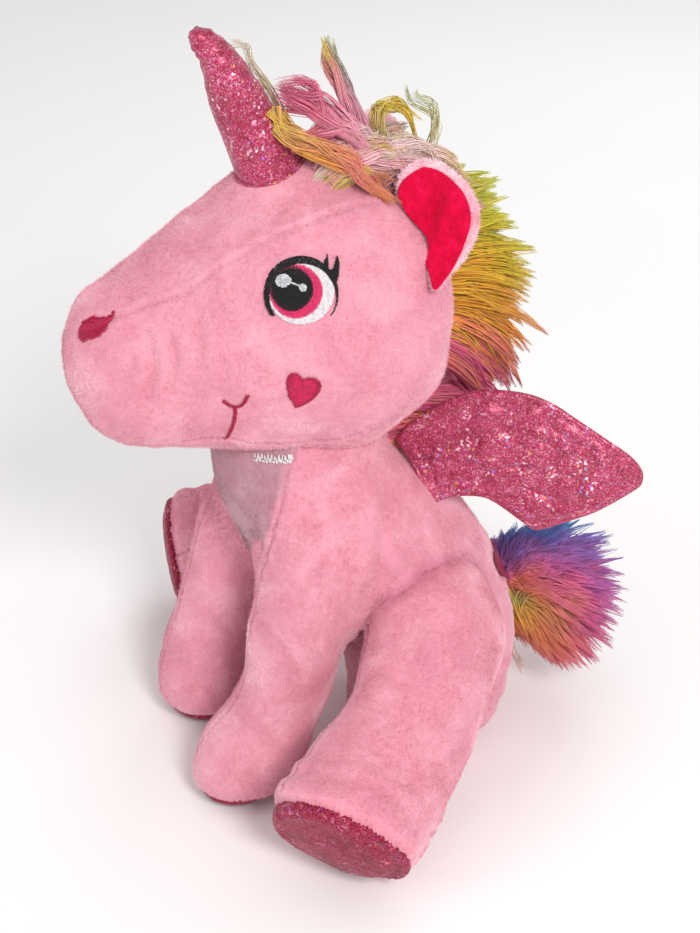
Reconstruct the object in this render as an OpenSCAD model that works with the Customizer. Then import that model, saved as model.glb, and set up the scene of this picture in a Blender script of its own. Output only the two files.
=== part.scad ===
// Plush unicorn, sitting: sewn cloth panels round polyester stuffing.
// Millimetres. +Z up, -Y forwards, +X is the unicorn's left. Origin: centre of the flat seat.

/* [Cloth and stuffing] */
// Thickness of the plush cloth with its pile pressed down
cloth = 2.4; // [1.6:0.1:3]
// Thickness of the glitter cloth on the horn, wings and soles
glitter = 0.8; // [0.5:0.1:1.2]
// Thickness of the embroidery above the cloth
thread = 0.8; // [0.4:0.1:1.2]
// Free space between parts that turn against each other
gap = 0.8; // [0.6:0.1:1.2]

/* [Head] */
// Half width of the head at the cheeks
head_w = 49; // [46:1:52]
// Half height of the head behind the eyes
head_h = 53; // [50:1:55]
// Radius of the stuffed ball in the neck
neck_r = 26; // [23:1:27]

/* [Horn] */
// Radius of the horn at its seam
horn_r = 11.6; // [10:0.2:13]

/* [Legs] */
// Radius of a front leg
front_r = 19.5; // [18:0.5:20.5]
// Radius of a hind leg at the thigh
hind_r = 28; // [26:0.5:29]

/* [Wings] */
// Thickness of the padding inside a wing
wing_pad = 3; // [2:0.5:4]

/* [Seat] */
// Radius of the flat round panel that it sits on
seat_r = 28; // [25:1:29]

/* [Hidden] */
sides = 16;          // corners of a soft part's cross section
steps = 2;           // rings between two stations
tiny = 0.15;         // gap between a cover and its stuffing
far = 400;           // larger than the whole toy
neck = [0, -43, 148];
neck_out = 33;       // outer radius of the neck
neck_top = 146;
tail_root = [0, 38, 50];
tail_ball_r = 8;

// Stations of a soft part: x, y, z of the middle, half width, half height.
head_stations = [
    [0, -126.5, 171, 4, 4],
    [0, -123.5, 171.5, 16, 16],
    [0, -115.5, 172, 25, 25],
    [0, -99, 173.5, 31, 31],
    [0, -84, 176.5, 37, 37.5],
    [0, -64, 181, head_w - 5, head_h - 6.7],
    [0, -46, 184.5, head_w - 1, head_h - 1],
    [0, -27, 186, head_w, head_h],
    [0, -9, 186, head_w - 6, head_h - 8.5],
    [0, 2, 186, head_w - 18, head_h - 22],
    [0, 9, 186, 7, 7]
];
torso_stations = [
    [0, 0, -3, 18, 18],
    [0, -0.5, 2.4, 29, 29],
    [0, -1.5, 12, 38.5, 36.5],
    [0, -5, 34, 47, 45],
    [0, -9, 60, 47, 47],
    [0, -19, 90, 44, 44],
    [0, -33, 114, 40, 40],
    [0, -43, 130, neck_out, neck_out],
    [0, -43, 146, neck_out, neck_out],
    [0, -43, 152, neck_out, neck_out]
];
front_pivot = [28, -46, 110];
front_stations = [
    [27.5, -44, 124, 4, 4],
    [27.8, -44.5, 121, 12, 12],
    [28.5, -46.5, 110, front_r, front_r],
    [29.5, -54, 88, front_r, front_r],
    [29, -63, 62, front_r - 0.5, front_r - 0.5],
    [28, -71, 40, front_r, front_r + 1],
    [27, -76, 22, front_r + 1, front_r + 2.5],
    [26.5, -77.5, 10.5, front_r - 1.5, front_r - 0.5],
    [26.5, -77.5, 3.2, 12.5, 13.5],
    [26.5, -77.5, 0, 5, 6]
];
hip = [38, -5, 70];
near_hind_stations = [
    [20, 12, 84, 5, 5],
    [24, 8, 81, 18, 18],
    [37, -4, 70.5, hind_r, hind_r],
    [54, -19, 57, hind_r - 0.5, hind_r - 0.5],
    [71.5, -35, 43, hind_r - 0.5, hind_r - 0.5],
    [85, -50, 33, hind_r + 1, hind_r + 1],
    [92.5, -59, 27.5, hind_r - 1.5, hind_r - 1.5],
    [95.6, -62.2, 25.3, 20.5, 20.5],
    [97, -63.6, 24.4, 6, 6]
];
far_hind_stations = [
    [-20, 12, 84, 5, 5],
    [-24, 8, 81, 18, 18],
    [-37, -4, 70.5, hind_r, hind_r],
    [-56, -17, 57, hind_r - 0.5, hind_r - 0.5],
    [-76, -32, 43.5, hind_r - 0.5, hind_r - 0.5],
    [-91, -51, 33.5, hind_r + 0.5, hind_r + 0.5],
    [-96, -67, 30, hind_r - 1.5, hind_r - 1.5],
    [-97.3, -71.5, 29.2, 20.5, 20.5],
    [-97.8, -73.6, 28.9, 6, 6]
];

// ---------------------------------------------------------------- soft shapes

function place(s) = [s[0], s[1], s[2]];
function unit(v) = v / norm(v);
function curve(a, b, c, d, t) =
    0.5 * (2 * b + (c - a) * t + (2 * a - 5 * b + 4 * c - d) * t * t + (3 * b - a - 3 * c + d) * t * t * t);
// A station at the share u of the way along the list, on a smooth curve through all of them.
function along(list, u) =
    let (i = min(floor(u), len(list) - 2), last = len(list) - 1)
    curve(list[max(i - 1, 0)], list[i], list[i + 1], list[min(i + 2, last)], u - i);
// One ring of n corners round the middle line, grown by more, with its width along side. It lies square
// to the middle line, or to level if that is given.
function ring(list, u, side, more, n, level) =
    let (
        s = along(list, u),
        last = len(list) - 1,
        run = level ? level
            : unit(place(along(list, min(u + 0.05, last))) - place(along(list, max(u - 0.05, 0)))),
        up = unit(cross(run, side)),
        across = cross(up, run)
    )
    [for (j = [0 : n - 1])
        place(s)
        + across * max(s[3] + more, 0.4) * cos(360 * j / n)
        + up * max(s[4] + more, 0.4) * sin(360 * j / n)];

// A closed skin through the stations. trim leaves off that many stations at each end.
module soft(list, side = [1, 0, 0], more = 0, trim = [0, 0], n = sides, m = steps, level = false) {
    last = len(list) - 1;
    from = trim[0];
    to = last - trim[1];
    rings = ceil((to - from) * m);
    points = [for (i = [0 : rings]) each ring(list, from + (to - from) * i / rings, side, more, n, level)];
    walls = [for (i = [0 : rings - 1], j = [0 : n - 1])
        let (a = i * n + j, b = i * n + (j + 1) % n)
        each [[a, a + n, b], [b, a + n, b + n]]];
    caps = [
        [for (j = [0 : n - 1]) j],
        [for (j = [0 : n - 1]) rings * n + n - 1 - j]
    ];
    polyhedron(points, concat(walls, caps), convexity = 6);
}

// Takes its children as one sewn mesh.
module sewn() resize([0, 0, 0]) children();

// All the space on one side of a plane through point, on the side that normal points to.
module half_space(point, normal) {
    n = unit(normal);
    translate(point) rotate([0, acos(n[2]), atan2(n[1], n[0])])
        translate([-far, -far, 0]) cube([2 * far, 2 * far, 2 * far]);
}

// Turns its children about an axis through point.
module turned(point, axis, angle) translate(point) rotate(angle, axis) translate(-point) children();

module flip(side) scale([side, 1, 1]) children();

// ---------------------------------------------------------------- legs

front_swing = [-2, 25];
hind_swing = [-2, 25];
near_axis = [-0.335, -0.75, 0.57];
far_axis = [-0.335, 0.75, -0.57];
far_hip = [-38, -5, 70];

module front_skin(more = 0, trim = [0, 0], n = sides, m = steps)
    soft(front_stations, [1, 0, 0], more, trim, n, m);
module hind_skin(side, more = 0, trim = [0, 0], n = sides, m = steps) {
    if (side > 0) soft(near_hind_stations, [0.7, 0.7, 0], more, trim, n, m);
    else soft(far_hind_stations, [0.7, -0.7, 0], more, trim, n, m);
}

// The space a leg sweeps inside the body as it swings about its seam.
module front_sweep(side, more = gap, n = sides, m = steps) hull()
    for (a = [front_swing[0], 0, front_swing[1]])
        turned([side * front_pivot[0], front_pivot[1], front_pivot[2]], [1, 0, 0], -a)
            flip(side) front_skin(more, [0, 3], n, m);
module hind_sweep(side, more = gap, n = sides, m = steps) hull()
    for (a = [hind_swing[0], 0, hind_swing[1]])
        turned(side > 0 ? hip : far_hip, side > 0 ? near_axis : far_axis, a)
            hind_skin(side, more, [0, 4], n, m);

sole_cut = 7;
module front_leg(side, piece) flip(side) {
    if (piece == "sole") color("mediumvioletred") sewn() difference() {
        front_skin();
        front_skin(-glitter, [1, 1.4]);
        half_space([0, 0, sole_cut], [0, 0, 1]);
    }
    else if (piece == "stuffing") color("white") sewn() difference() {
        front_skin(-cloth - 0.8, [1, 1.4], 12, 1);
        half_space([0, 0, 4], [0, 0, -1]);
    }
    else color("lightpink") sewn() difference() {
        front_skin();
        front_skin(-cloth, [0, 0.6]);
        half_space([0, 0, sole_cut], [0, 0, -1]);
        half_space([0, 0, 116], [0, 0, 1]);
        half_space([29, 0, 0], [piece == "outer" ? -1 : 1, 0, 0]);
    }
}

near_toe = [92.5, -59, 27.5];
near_run = [0.61, -0.63, -0.47];
far_toe = [-96, -67, 30];
far_run = [-0.25, -0.95, -0.18];
module hind_leg(side, piece) {
    toe = side > 0 ? near_toe : far_toe;
    run = side > 0 ? near_run : far_run;
    start = [side * 28, 4, 78];
    lengthwise = [side * 0.68, -0.62, -0.4];
    seam = side > 0 ? [0.3, 0.3, 1] : [-0.5, 0.1, 1];
    if (piece == "sole") color("mediumvioletred") sewn() difference() {
        hind_skin(side);
        hind_skin(side, -glitter, [1, 1.4]);
        half_space(toe, -run);
    }
    else if (piece == "stuffing") color("white") sewn() hind_skin(side, -cloth - 1.2, [1, 1.4], 12, 1);
    else color("lightpink") sewn() difference() {
        hind_skin(side);
        hind_skin(side, -cloth, [0, 0.6]);
        half_space(toe, run);
        half_space(start, -lengthwise);
        half_space(toe, (piece == "outer" ? -1 : 1) * seam);
    }
}

// ---------------------------------------------------------------- body

module torso_skin(more = 0, n = sides, m = steps)
    soft(torso_stations, [1, 0, 0], more, [0, 0], n, m, [0, 0, 1]);
module limb_room(more = gap, n = 32, m = steps) {
    for (side = [-1, 1]) {
        front_sweep(side, more, n / 2, m);
        hind_sweep(side, more, n / 2, m);
    }
    translate(neck) sphere(neck_r + more, $fn = n);
    translate(tail_root) sphere(tail_ball_r + more, $fn = 20);
}
module torso_cover() difference() {
    torso_skin();
    torso_skin(-cloth);
    half_space([0, 0, cloth + tiny], [0, 0, -1]);
    half_space([0, 0, neck_top], [0, 0, 1]);
    limb_room();
}
belly_half = 8.5;
module belly_wedge(more = 0)
    translate([-belly_half - more, -far, -1]) cube([2 * (belly_half + more), far - 12, 160]);
module body_side(side) color("lightpink") sewn() difference() {
    torso_cover();
    half_space([side * tiny / 2, 0, 0], [-side, 0, 0]);
    belly_wedge(tiny);
}
module belly_panel() color("pink") sewn() intersection() {
    torso_cover();
    belly_wedge();
}
module seat_panel() color("lightpink") cylinder(r = seat_r, h = cloth, $fn = 64);
module body_stuffing() color("white") sewn() difference() {
    torso_skin(-cloth - 1.6, 14, 1);
    half_space([0, 0, cloth + tiny], [0, 0, -1]);
    half_space([0, 0, neck_top - 2], [0, 0, 1]);
    limb_room(gap + 2.6, 24, 1);
}
module neck_stuffing() color("white") translate(neck) sphere(neck_r, $fn = 48);

// A drawing laid on a soft skin, seen from outside at a point. children: the grown skin, the skin, the drawing.
module laid_on(at, look, depth = 4) sewn() intersection() {
    difference() {
        children(0);
        children(1);
    }
    translate(at) rotate([0, acos(look[2] / norm(look)), atan2(look[1], look[0])]) rotate([0, 0, 90])
        translate([0, 0, -depth]) linear_extrude(depth + 3) children(2);
}
module heart_2d(r) {
    rotate(45) square(1.4 * r, center = true);
    for (s = [-1, 1]) translate([s * 0.5 * r, 0.5 * r]) circle(0.72 * r, $fn = 16);
}
module rump_hearts() color("crimson") for (side = [-1, 1]) flip(side) laid_on([14, 31, 72], [0.33, 0.93, 0.15], 5) {
    torso_skin(thread);
    torso_skin(0.05);
    heart_2d(8.5);
}
// A short white bar of stitches across the throat, in the crease under the jaw.
module throat_stitch() color("white") laid_on([28, -61.5, 140.2], [0.83, -0.56, 0], 6) {
    torso_skin(0.65);
    torso_skin(0.05);
    for (i = [0 : 7]) translate([2 * i - 7, 0]) square([1.1, 3.4], center = true);
}
// Pile of the mane's last part, below the head, where it is sewn to the nape.
module nape_pile() color("gold") sewn() difference() {
    translate([-8, 0, 0]) rotate([90, 0, 90]) linear_extrude(16)
        polygon([[-8.5, 142], [2, 150], [20, 152], [40, 150], [43, 141], [36, 133], [20, 129], [4, 124], [-6, 128]]);
    torso_skin(0.3);
    for (a = [nod[0], 0], t = [-20, 0, 20])
        turned(neck, [0, 0, 1], t) turned(neck, [1, 0, 0], a) head_skin(gap + 0.8, [4, 0]);
}

// ---------------------------------------------------------------- head

module head_skin(more = 0, trim = [0, 0], n = sides, m = steps)
    soft(head_stations, [1, 0, 0], more, trim, n, m);
nod = [-5, 10];
module neck_room(more = gap, n = 32) {
    translate(neck) sphere(neck_r + more, $fn = n);
    for (a = [nod[0], 0, nod[1]]) turned(neck, [1, 0, 0], -a)
        translate([0, neck[1], 110]) cylinder(r = neck_out + more, h = neck_top - 110 + more, $fn = n);
}
module head_cover() difference() {
    head_skin();
    head_skin(-cloth, [0.4, 0.4]);
    neck_room();
    horn_room();
}
forehead_half = 18;
chin_half = 14;
module forehead_wedge(more = 0) translate([-forehead_half - more, -far, 196 - more])
    cube([2 * (forehead_half + more), 2 * far, 100]);
module chin_wedge(more = 0) translate([-chin_half - more, -far, 60])
    cube([2 * (chin_half + more), far - 78 + more, 108 + more]);
module head_side(side) color("lightpink") sewn() difference() {
    head_cover();
    half_space([side * tiny / 2, 0, 0], [-side, 0, 0]);
    forehead_wedge(tiny);
    chin_wedge(tiny);
}
module forehead_panel() color("lightpink") sewn() intersection() {
    head_cover();
    forehead_wedge();
}
module chin_panel() color("lightpink") sewn() intersection() {
    head_cover();
    chin_wedge();
}
module head_stuffing() color("white") sewn() difference() {
    head_skin(-cloth - 1.8, [0.6, 0.6], 14, 1);
    neck_room(gap + tiny, 20);
    horn_room(gap + tiny);
}

// ---------------------------------------------------------------- embroidery

eye_at = [39, -54.5, 210];
eye_look = [0.85, -0.2, 0.49];
module disc(r, shift = [0, 0]) translate(shift) circle(r, $fn = 28);
module eye_white_2d() difference() {
    disc(10.6, [0.6, -0.4]);
    disc(9.2, [-0.6, 0.2]);
}
module eye_iris_2d() difference() {
    disc(9.1, [-0.6, 0.2]);
    disc(7.6, [-0.9, 0.7]);
}
module glints_2d(more = 0) {
    translate([-4.2, 3]) circle(2.4 + more, $fn = 16);
    translate([0.9, 1.8]) circle(1.2 + more, $fn = 12);
}
module eye_pupil_2d() difference() {
    disc(7.5, [-0.9, 0.7]);
    glints_2d(0.1);
}
module eye_outline_2d() {
    difference() {
        disc(12, [0, 0.4]);
        disc(10.7, [0.6, -0.4]);
        translate([-20, -34]) square([40, 27]);
    }
    polygon([[6.5, 9.6], [10.2, 7.2], [12.4, 12.6]]);
    polygon([[9.6, 7.2], [12, 4], [15.4, 8.6]]);
}
module eye_piece(side, piece) flip(side) laid_on(eye_at, eye_look) {
    head_skin(thread);
    head_skin(0.05);
    union() {
        if (piece == "white") eye_white_2d();
        if (piece == "iris") eye_iris_2d();
        if (piece == "pupil") eye_pupil_2d();
        if (piece == "glints") glints_2d();
        if (piece == "outline") eye_outline_2d();
    }
}
module nostrils() color("crimson") for (side = [-1, 1]) flip(side) laid_on([12, -115.5, 194], [0.42, -0.45, 0.78]) {
    head_skin(thread);
    head_skin(0.05);
    rotate(25) scale([1, 0.62]) circle(5.2, $fn = 18);
}
module cheek_hearts() color("crimson") for (side = [-1, 1]) flip(side) laid_on([46, -55.7, 178.5], [0.97, -0.22, -0.09]) {
    head_skin(thread);
    head_skin(0.2);
    rotate(-8) heart_2d(5.4);
}
module mouth_stitch() color("crimson") for (side = [-1, 1]) flip(side) laid_on([39.5, -77, 171], [0.93, -0.33, -0.15]) {
    head_skin(thread);
    head_skin(0.05);
    union() {
        translate([-1, -11]) square([1.7, 11]);
        difference() {
            translate([-0.4, 3.6]) circle(4.6, $fn = 20);
            translate([-0.4, 3.6]) circle(3, $fn = 20);
            translate([-8, 3]) square(16);
        }
    }
}

// ---------------------------------------------------------------- horn, mane, ears

horn_pivot = [0, -52, 235];
horn_stations = [
    [0, -46.5, 224, horn_r, horn_r],
    [0, -51, 235, horn_r, horn_r],
    [0, -57.5, 250, horn_r * 0.87, horn_r * 0.87],
    [0, -64.4, 266, horn_r * 0.73, horn_r * 0.73],
    [0, -69.5, 277, horn_r * 0.5, horn_r * 0.5],
    [0, -74, 282.5, horn_r * 0.36, horn_r * 0.36],
    [0, -77, 284.5, 1.5, 1.5]
];
module horn_skin(more = 0, trim = [0, 0], n = sides) soft(horn_stations, [1, 0, 0], more, trim, n, steps);
module horn_room(more = gap) for (a = [-8, 0, 8]) turned(horn_pivot, [1, 0, 0], a) horn_skin(more, [0, 3], 16);
module horn_cover() color("hotpink") sewn() difference() {
    horn_skin();
    horn_skin(-glitter, [0, 0.8]);
    half_space([0, -47.5, 226], [0, 0.38, -0.92]);
}
module horn_stuffing() color("white") sewn() difference() {
    horn_skin(-glitter - 0.4, [0, 1.2], 14);
    half_space([0, -47.5, 226.5], [0, 0.38, -0.92]);
}

// Side outline of the hair above the crown and behind the head, in y and z.
hair_outer = [
    [-20, 260], [-6, 256], [10, 245], [26, 228], [37, 210], [43.5, 192], [47, 177], [47.5, 169]
];
hair_inner = [[10, 160], [-8, 166], [-10, 212], [-34, 222], [-34, 256]];
module hair_slab(half, outline) translate([-half, 0, 0]) rotate([90, 0, 90])
    linear_extrude(2 * half) polygon(outline);
module mane_strip() color("gold") sewn() intersection() {
    difference() {
        head_skin(1.6);
        head_skin(0.05);
    }
    hair_slab(6, concat(hair_outer, hair_inner));
}
module mane_pile() color("gold") sewn() difference() {
    hair_slab(12, concat(hair_outer, hair_inner));
    head_skin(1.7);
    neck_room();
}
module forelock_pile() color("lightpink") sewn() difference() {
    hull() {
        translate([0, -38, 240]) sphere(5, $fn = 12);
        translate([7, -46, 262]) sphere(6, $fn = 12);
        translate([-2, -38.5, 270]) sphere(3.5, $fn = 12);
        translate([13, -37, 240]) sphere(3, $fn = 12);
    }
    head_skin(0.1);
    hair_slab(12.1, concat([[-20, 300], [60, 300]], [[60, 160]], hair_inner));
    horn_room();
}

// An ear is a thin dished flap. Its outline is drawn flat and sits on the back corner of the head.
ear_at = [31.5, -6.8, 220.8];
ear_turn = 62;
ear_tilt = 22;
ear_points = [
    [-3.5, 21.9], [-8.3, 19], [-11, 15], [-11.1, 10.7], [-8.1, 5.4], [-3.8, 1], [-1.3, -2.1], [-0.4, -5.3],
    [-1, -9.3], [0.8, -13.5], [3.3, -16.9], [7.1, -13.7], [10.4, -8.6], [12.9, -2.5], [14.2, 3.1],
    [13.6, 8.6], [10.8, 14.2], [6.2, 18.5], [1.5, 21.2]
];
module ear_place() translate(ear_at) rotate([0, 0, ear_turn]) rotate([90 - ear_tilt, 0, 0]) children();
module ear_leaf(low, high) intersection() {
    translate([0, 0, -12]) linear_extrude(40) polygon(ear_points);
    translate([1, 3, 40]) difference() {
        sphere(40 + low, $fn = 40);
        sphere(40 + high, $fn = 40);
    }
}
ear_hinge = [37.1, -6, 204.3];
ear_axis = [cos(ear_turn), sin(ear_turn), 0];
ear_swing = [-4, 35];
module ear_room() for (a = [ear_swing[0], 0, 12, ear_swing[1]])
    turned(ear_hinge, ear_axis, -a) head_skin(gap, [0, 0], 20, 1);
module ear_back(side) color("lightpink") flip(side) sewn() difference() {
    ear_place() ear_leaf(2.4, 0.1);
    ear_room();
}
module ear_lining(side) color("deeppink") flip(side) sewn() difference() {
    ear_place() ear_leaf(0, -1.2);
    ear_room();
}

// ---------------------------------------------------------------- wings and tail

wing_root = [14.5, -5, 122];
wing_turn = 58;
wing_points = [
    [-3.3, 10.5], [3, 21.8], [13.5, 31.2], [30.5, 35.1], [47.2, 32.8], [62.4, 25.1], [77.9, 14.1], [82.4, 6.1],
    [80.1, -0.3], [68.5, -10.7], [53.8, -18.8], [48.2, -18.2], [38.1, -14.1], [22.3, -6], [15.5, -6.4], [10, -6.4], [3.6, 0.6]
];
wing_hem = [
    [-1.6, 10], [4.2, 20.7], [14.2, 29.6], [30.6, 33.5], [46.8, 31.2], [61.6, 23.7], [76.6, 13.1], [80.7, 5.9],
    [78.7, 0.6], [67.7, -9.3], [53.4, -17.2], [48.5, -16.6], [38.7, -12.5], [22.6, -4.4], [15.6, -4.8], [10.6, -4.8], [5.2, 1.2]
];
module wing_place(side) flip(side) translate(wing_root) rotate([0, 0, wing_turn]) rotate([90, 0, 0]) children();
module wing_outer(side) color("hotpink") wing_place(side)
    translate([0, 0, wing_pad / 2 + 0.05]) linear_extrude(glitter) polygon(wing_points);
module wing_inner(side) color("hotpink") wing_place(side)
    translate([0, 0, -wing_pad / 2 - 0.05 - glitter]) linear_extrude(glitter) polygon(wing_points);
module wing_padding(side) color("white") wing_place(side)
    translate([0, 0, -wing_pad / 2]) linear_extrude(wing_pad) polygon(wing_hem);

module tail_core() color("orchid") translate(tail_root) sphere(tail_ball_r, $fn = 32);
module tail_pile() color("orchid") sewn() difference() {
    hull() {
        translate([0, 48, 52]) sphere(7, $fn = 16);
        translate([0, 66, 52]) sphere(18, $fn = 16);
        translate([0, 78, 60]) sphere(16, $fn = 16);
        translate([0, 72, 34]) sphere(18, $fn = 16);
    }
    translate(tail_root) sphere(tail_ball_r + 0.1, $fn = 32);
}

// ---------------------------------------------------------------- nodes

body_side(1);  // body_left_panel
body_side(-1);  // body_right_panel
belly_panel();
seat_panel();
body_stuffing();
rump_hearts();
throat_stitch();
nape_pile();
neck_stuffing();
head_side(1);  // head_left_panel
head_side(-1);  // head_right_panel
forehead_panel();
chin_panel();
head_stuffing();
color("white") eye_piece(1, "white");  // eye_left_white
color("deeppink") eye_piece(1, "iris");  // eye_left_iris
color("black") eye_piece(1, "pupil");  // eye_left_pupil
color("white") eye_piece(1, "glints");  // eye_left_glints
color("black") eye_piece(1, "outline");  // eye_left_outline
color("white") eye_piece(-1, "white");  // eye_right_white
color("deeppink") eye_piece(-1, "iris");  // eye_right_iris
color("black") eye_piece(-1, "pupil");  // eye_right_pupil
color("white") eye_piece(-1, "glints");  // eye_right_glints
color("black") eye_piece(-1, "outline");  // eye_right_outline
nostrils();
mouth_stitch();
cheek_hearts();
mane_strip();
mane_pile();
forelock_pile();
horn_cover();
horn_stuffing();
ear_back(1);  // ear_left_back
ear_lining(1);  // ear_left_lining
ear_back(-1);  // ear_right_back
ear_lining(-1);  // ear_right_lining
wing_outer(1);  // wing_left_outer
wing_inner(1);  // wing_left_inner
wing_padding(1);  // wing_left_padding
wing_outer(-1);  // wing_right_outer
wing_inner(-1);  // wing_right_inner
wing_padding(-1);  // wing_right_padding
tail_core();
tail_pile();
front_leg(1, "outer");  // front_left_leg_outer
front_leg(1, "inner");  // front_left_leg_inner
front_leg(1, "sole");  // front_left_sole
front_leg(1, "stuffing");  // front_left_leg_stuffing
front_leg(-1, "outer");  // front_right_leg_outer
front_leg(-1, "inner");  // front_right_leg_inner
front_leg(-1, "sole");  // front_right_sole
front_leg(-1, "stuffing");  // front_right_leg_stuffing
hind_leg(1, "outer");  // hind_left_leg_outer
hind_leg(1, "inner");  // hind_left_leg_inner
hind_leg(1, "sole");  // hind_left_sole
hind_leg(1, "stuffing");  // hind_left_leg_stuffing
hind_leg(-1, "outer");  // hind_right_leg_outer
hind_leg(-1, "inner");  // hind_right_leg_inner
hind_leg(-1, "sole");  // hind_right_sole
hind_leg(-1, "stuffing");  // hind_right_leg_stuffing
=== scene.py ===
import math

import bmesh
import bpy
import numpy as np
from mathutils import Matrix, Vector
from mathutils.bvhtree import BVHTree
from mathutils.geometry import tessellate_polygon


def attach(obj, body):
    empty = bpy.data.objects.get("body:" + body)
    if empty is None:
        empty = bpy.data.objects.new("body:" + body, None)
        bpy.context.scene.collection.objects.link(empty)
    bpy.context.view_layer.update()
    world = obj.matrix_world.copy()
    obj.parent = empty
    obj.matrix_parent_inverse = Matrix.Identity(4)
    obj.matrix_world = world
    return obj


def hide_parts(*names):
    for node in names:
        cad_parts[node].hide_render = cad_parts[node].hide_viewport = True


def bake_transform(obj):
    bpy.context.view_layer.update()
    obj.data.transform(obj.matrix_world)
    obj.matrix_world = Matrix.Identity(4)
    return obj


# The plush unicorn. Shapes are in mm in the frame of the CAD, and MM turns them to metres as meshes are made.

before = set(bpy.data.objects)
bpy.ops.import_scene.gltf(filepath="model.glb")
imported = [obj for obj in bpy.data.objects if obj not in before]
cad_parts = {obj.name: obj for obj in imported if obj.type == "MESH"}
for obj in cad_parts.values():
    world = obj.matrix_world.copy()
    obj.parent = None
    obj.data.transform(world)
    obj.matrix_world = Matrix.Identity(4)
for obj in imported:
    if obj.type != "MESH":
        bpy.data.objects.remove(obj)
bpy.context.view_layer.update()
scene = bpy.context.scene
MM = 0.001


# ---------------------------------------------------------------- numbers

def unit(v):
    v = np.asarray(v, float)
    return v / np.maximum(np.linalg.norm(v, axis=-1, keepdims=True), 1e-9)


def ramp(t, a, b):
    t = np.clip((np.asarray(t, float) - a) / (b - a), 0, 1)
    return t * t * (3 - 2 * t)


def waves(p, size, seed, count=16):
    """Smooth noise of about -1 to 1 over points in mm, with bumps of about that size."""
    r = np.random.default_rng(seed)
    k = unit(r.normal(size=(count, 3))) * (math.pi / size) * r.uniform(0.65, 1.45, (count, 1))
    return np.sin(p @ k.T + r.uniform(0, 6.283, count)).sum(1) / math.sqrt(count) * 0.9


def arc(a, b, c, d, f):
    """The smooth curve's point at share f of the way from b to c."""
    return 0.5 * (2 * b + (c - a) * f + (2 * a - 5 * b + 4 * c - d) * f**2 + (3 * b - a - 3 * c + d) * f**3)


def spline(points, t):
    """Points at shares t of the way along a smooth curve through the given points."""
    s = np.asarray(points, float)
    last = len(s) - 1
    u = np.clip(np.asarray(t, float), 0, 1) * last
    i = np.minimum(u.astype(int), last - 1)
    return arc(s[np.maximum(i - 1, 0)], s[i], s[i + 1], s[np.minimum(i + 2, last)], (u - i)[:, None])


def bell(d, wide):
    return np.exp(-((d / wide) ** 2))


def swell(u):
    """Rises from 0 at the ends of a line to 1 in its middle."""
    return np.sin(np.clip(u, 0, 1) * math.pi)


def push(v, n, amount):
    """Moves points along their normals."""
    return v + n * amount[:, None]


def sided(line, s):
    return [(s * x, y, z) for x, y, z in line]


# ---------------------------------------------------------------- meshes

def bands(rings, n, start=0, flip=False):
    """The quads between closed rings of n points each."""
    out = []
    for i in range(rings - 1):
        for j in range(n):
            a = start + i * n + j
            b = start + i * n + (j + 1) % n
            quad = (a, a + n, b + n, b)
            out.append(tuple(reversed(quad)) if flip else quad)
    return out


def loft(stations, side, n=72, m=10, level=None, more=0.0):
    """A closed skin through rings of centre and two radii, as the frame's soft parts are made."""
    last = len(stations) - 1
    t = np.linspace(0, 1, last * m + 1)
    s = spline(stations, t)
    if level is None:
        run = unit(spline(stations, t + 0.004)[:, :3] - spline(stations, t - 0.004)[:, :3])
    else:
        run = np.tile(np.array(level, float), (len(t), 1))
    up = unit(np.cross(run, np.array(side, float)))
    across = np.cross(up, run)
    a = np.arange(n) * 2 * math.pi / n
    wide = np.maximum(s[:, 3] + more, 0.4)[:, None, None]
    tall = np.maximum(s[:, 4] + more, 0.4)[:, None, None]
    v = s[:, None, :3] + across[:, None] * wide * np.cos(a)[:, None] + up[:, None] * tall * np.sin(a)[:, None]
    rings = len(t)
    faces = bands(rings, n)
    v = np.vstack([v.reshape(-1, 3), s[0, :3], s[-1, :3]])
    for j in range(n):
        k = (j + 1) % n
        faces.append((rings * n, j, k))
        faces.append((rings * n + 1, (rings - 1) * n + k, (rings - 1) * n + j))
    return v, faces


def add(name, v, faces, material, smooth=True):
    me = bpy.data.meshes.new(name)
    faces = faces.tolist() if isinstance(faces, np.ndarray) else faces
    me.from_pydata((np.asarray(v) * MM).tolist(), [], faces)
    if smooth:
        me.polygons.foreach_set("use_smooth", [True] * len(me.polygons))
    ob = bpy.data.objects.new(name, me)
    scene.collection.objects.link(ob)
    if material:
        me.materials.append(material)
    return ob


def drop(ob):
    me = ob.data
    bpy.data.objects.remove(ob)
    bpy.data.meshes.remove(me)


def coords(me):
    v = np.empty(len(me.vertices) * 3)
    me.vertices.foreach_get("co", v)
    return v.reshape(-1, 3) / MM


def resurface(parts, voxel, rounds):
    """One even quad skin round all the given closed shapes, and smoothed."""
    v = np.vstack([p[0] for p in parts])
    faces, at = [], 0
    for p in parts:
        faces += [tuple(i + at for i in f) for f in p[1]]
        at += len(p[0])
    ob = add("tmp_skin", v, faces, None)
    m = ob.modifiers.new("r", "REMESH")
    m.mode = "VOXEL"
    m.voxel_size = voxel * MM
    if rounds:
        s = ob.modifiers.new("s", "SMOOTH")
        s.factor = 0.5
        s.iterations = rounds
    me = bpy.data.meshes.new_from_object(ob.evaluated_get(bpy.context.evaluated_depsgraph_get()))
    v = coords(me)
    f = np.empty(len(me.loops), int)
    me.loops.foreach_get("vertex_index", f)
    drop(ob)
    bpy.data.meshes.remove(me)
    return v, f.reshape(-1, 4)


def normals(v, f):
    n = np.cross(v[f[:, 2]] - v[f[:, 0]], v[f[:, 3]] - v[f[:, 1]])
    out = np.zeros_like(v)
    for i in range(4):
        np.add.at(out, f[:, i], n)
    return unit(out)


def tree(v, f):
    return BVHTree.FromPolygons(np.asarray(v).tolist(), f.tolist() if isinstance(f, np.ndarray) else f)


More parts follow.
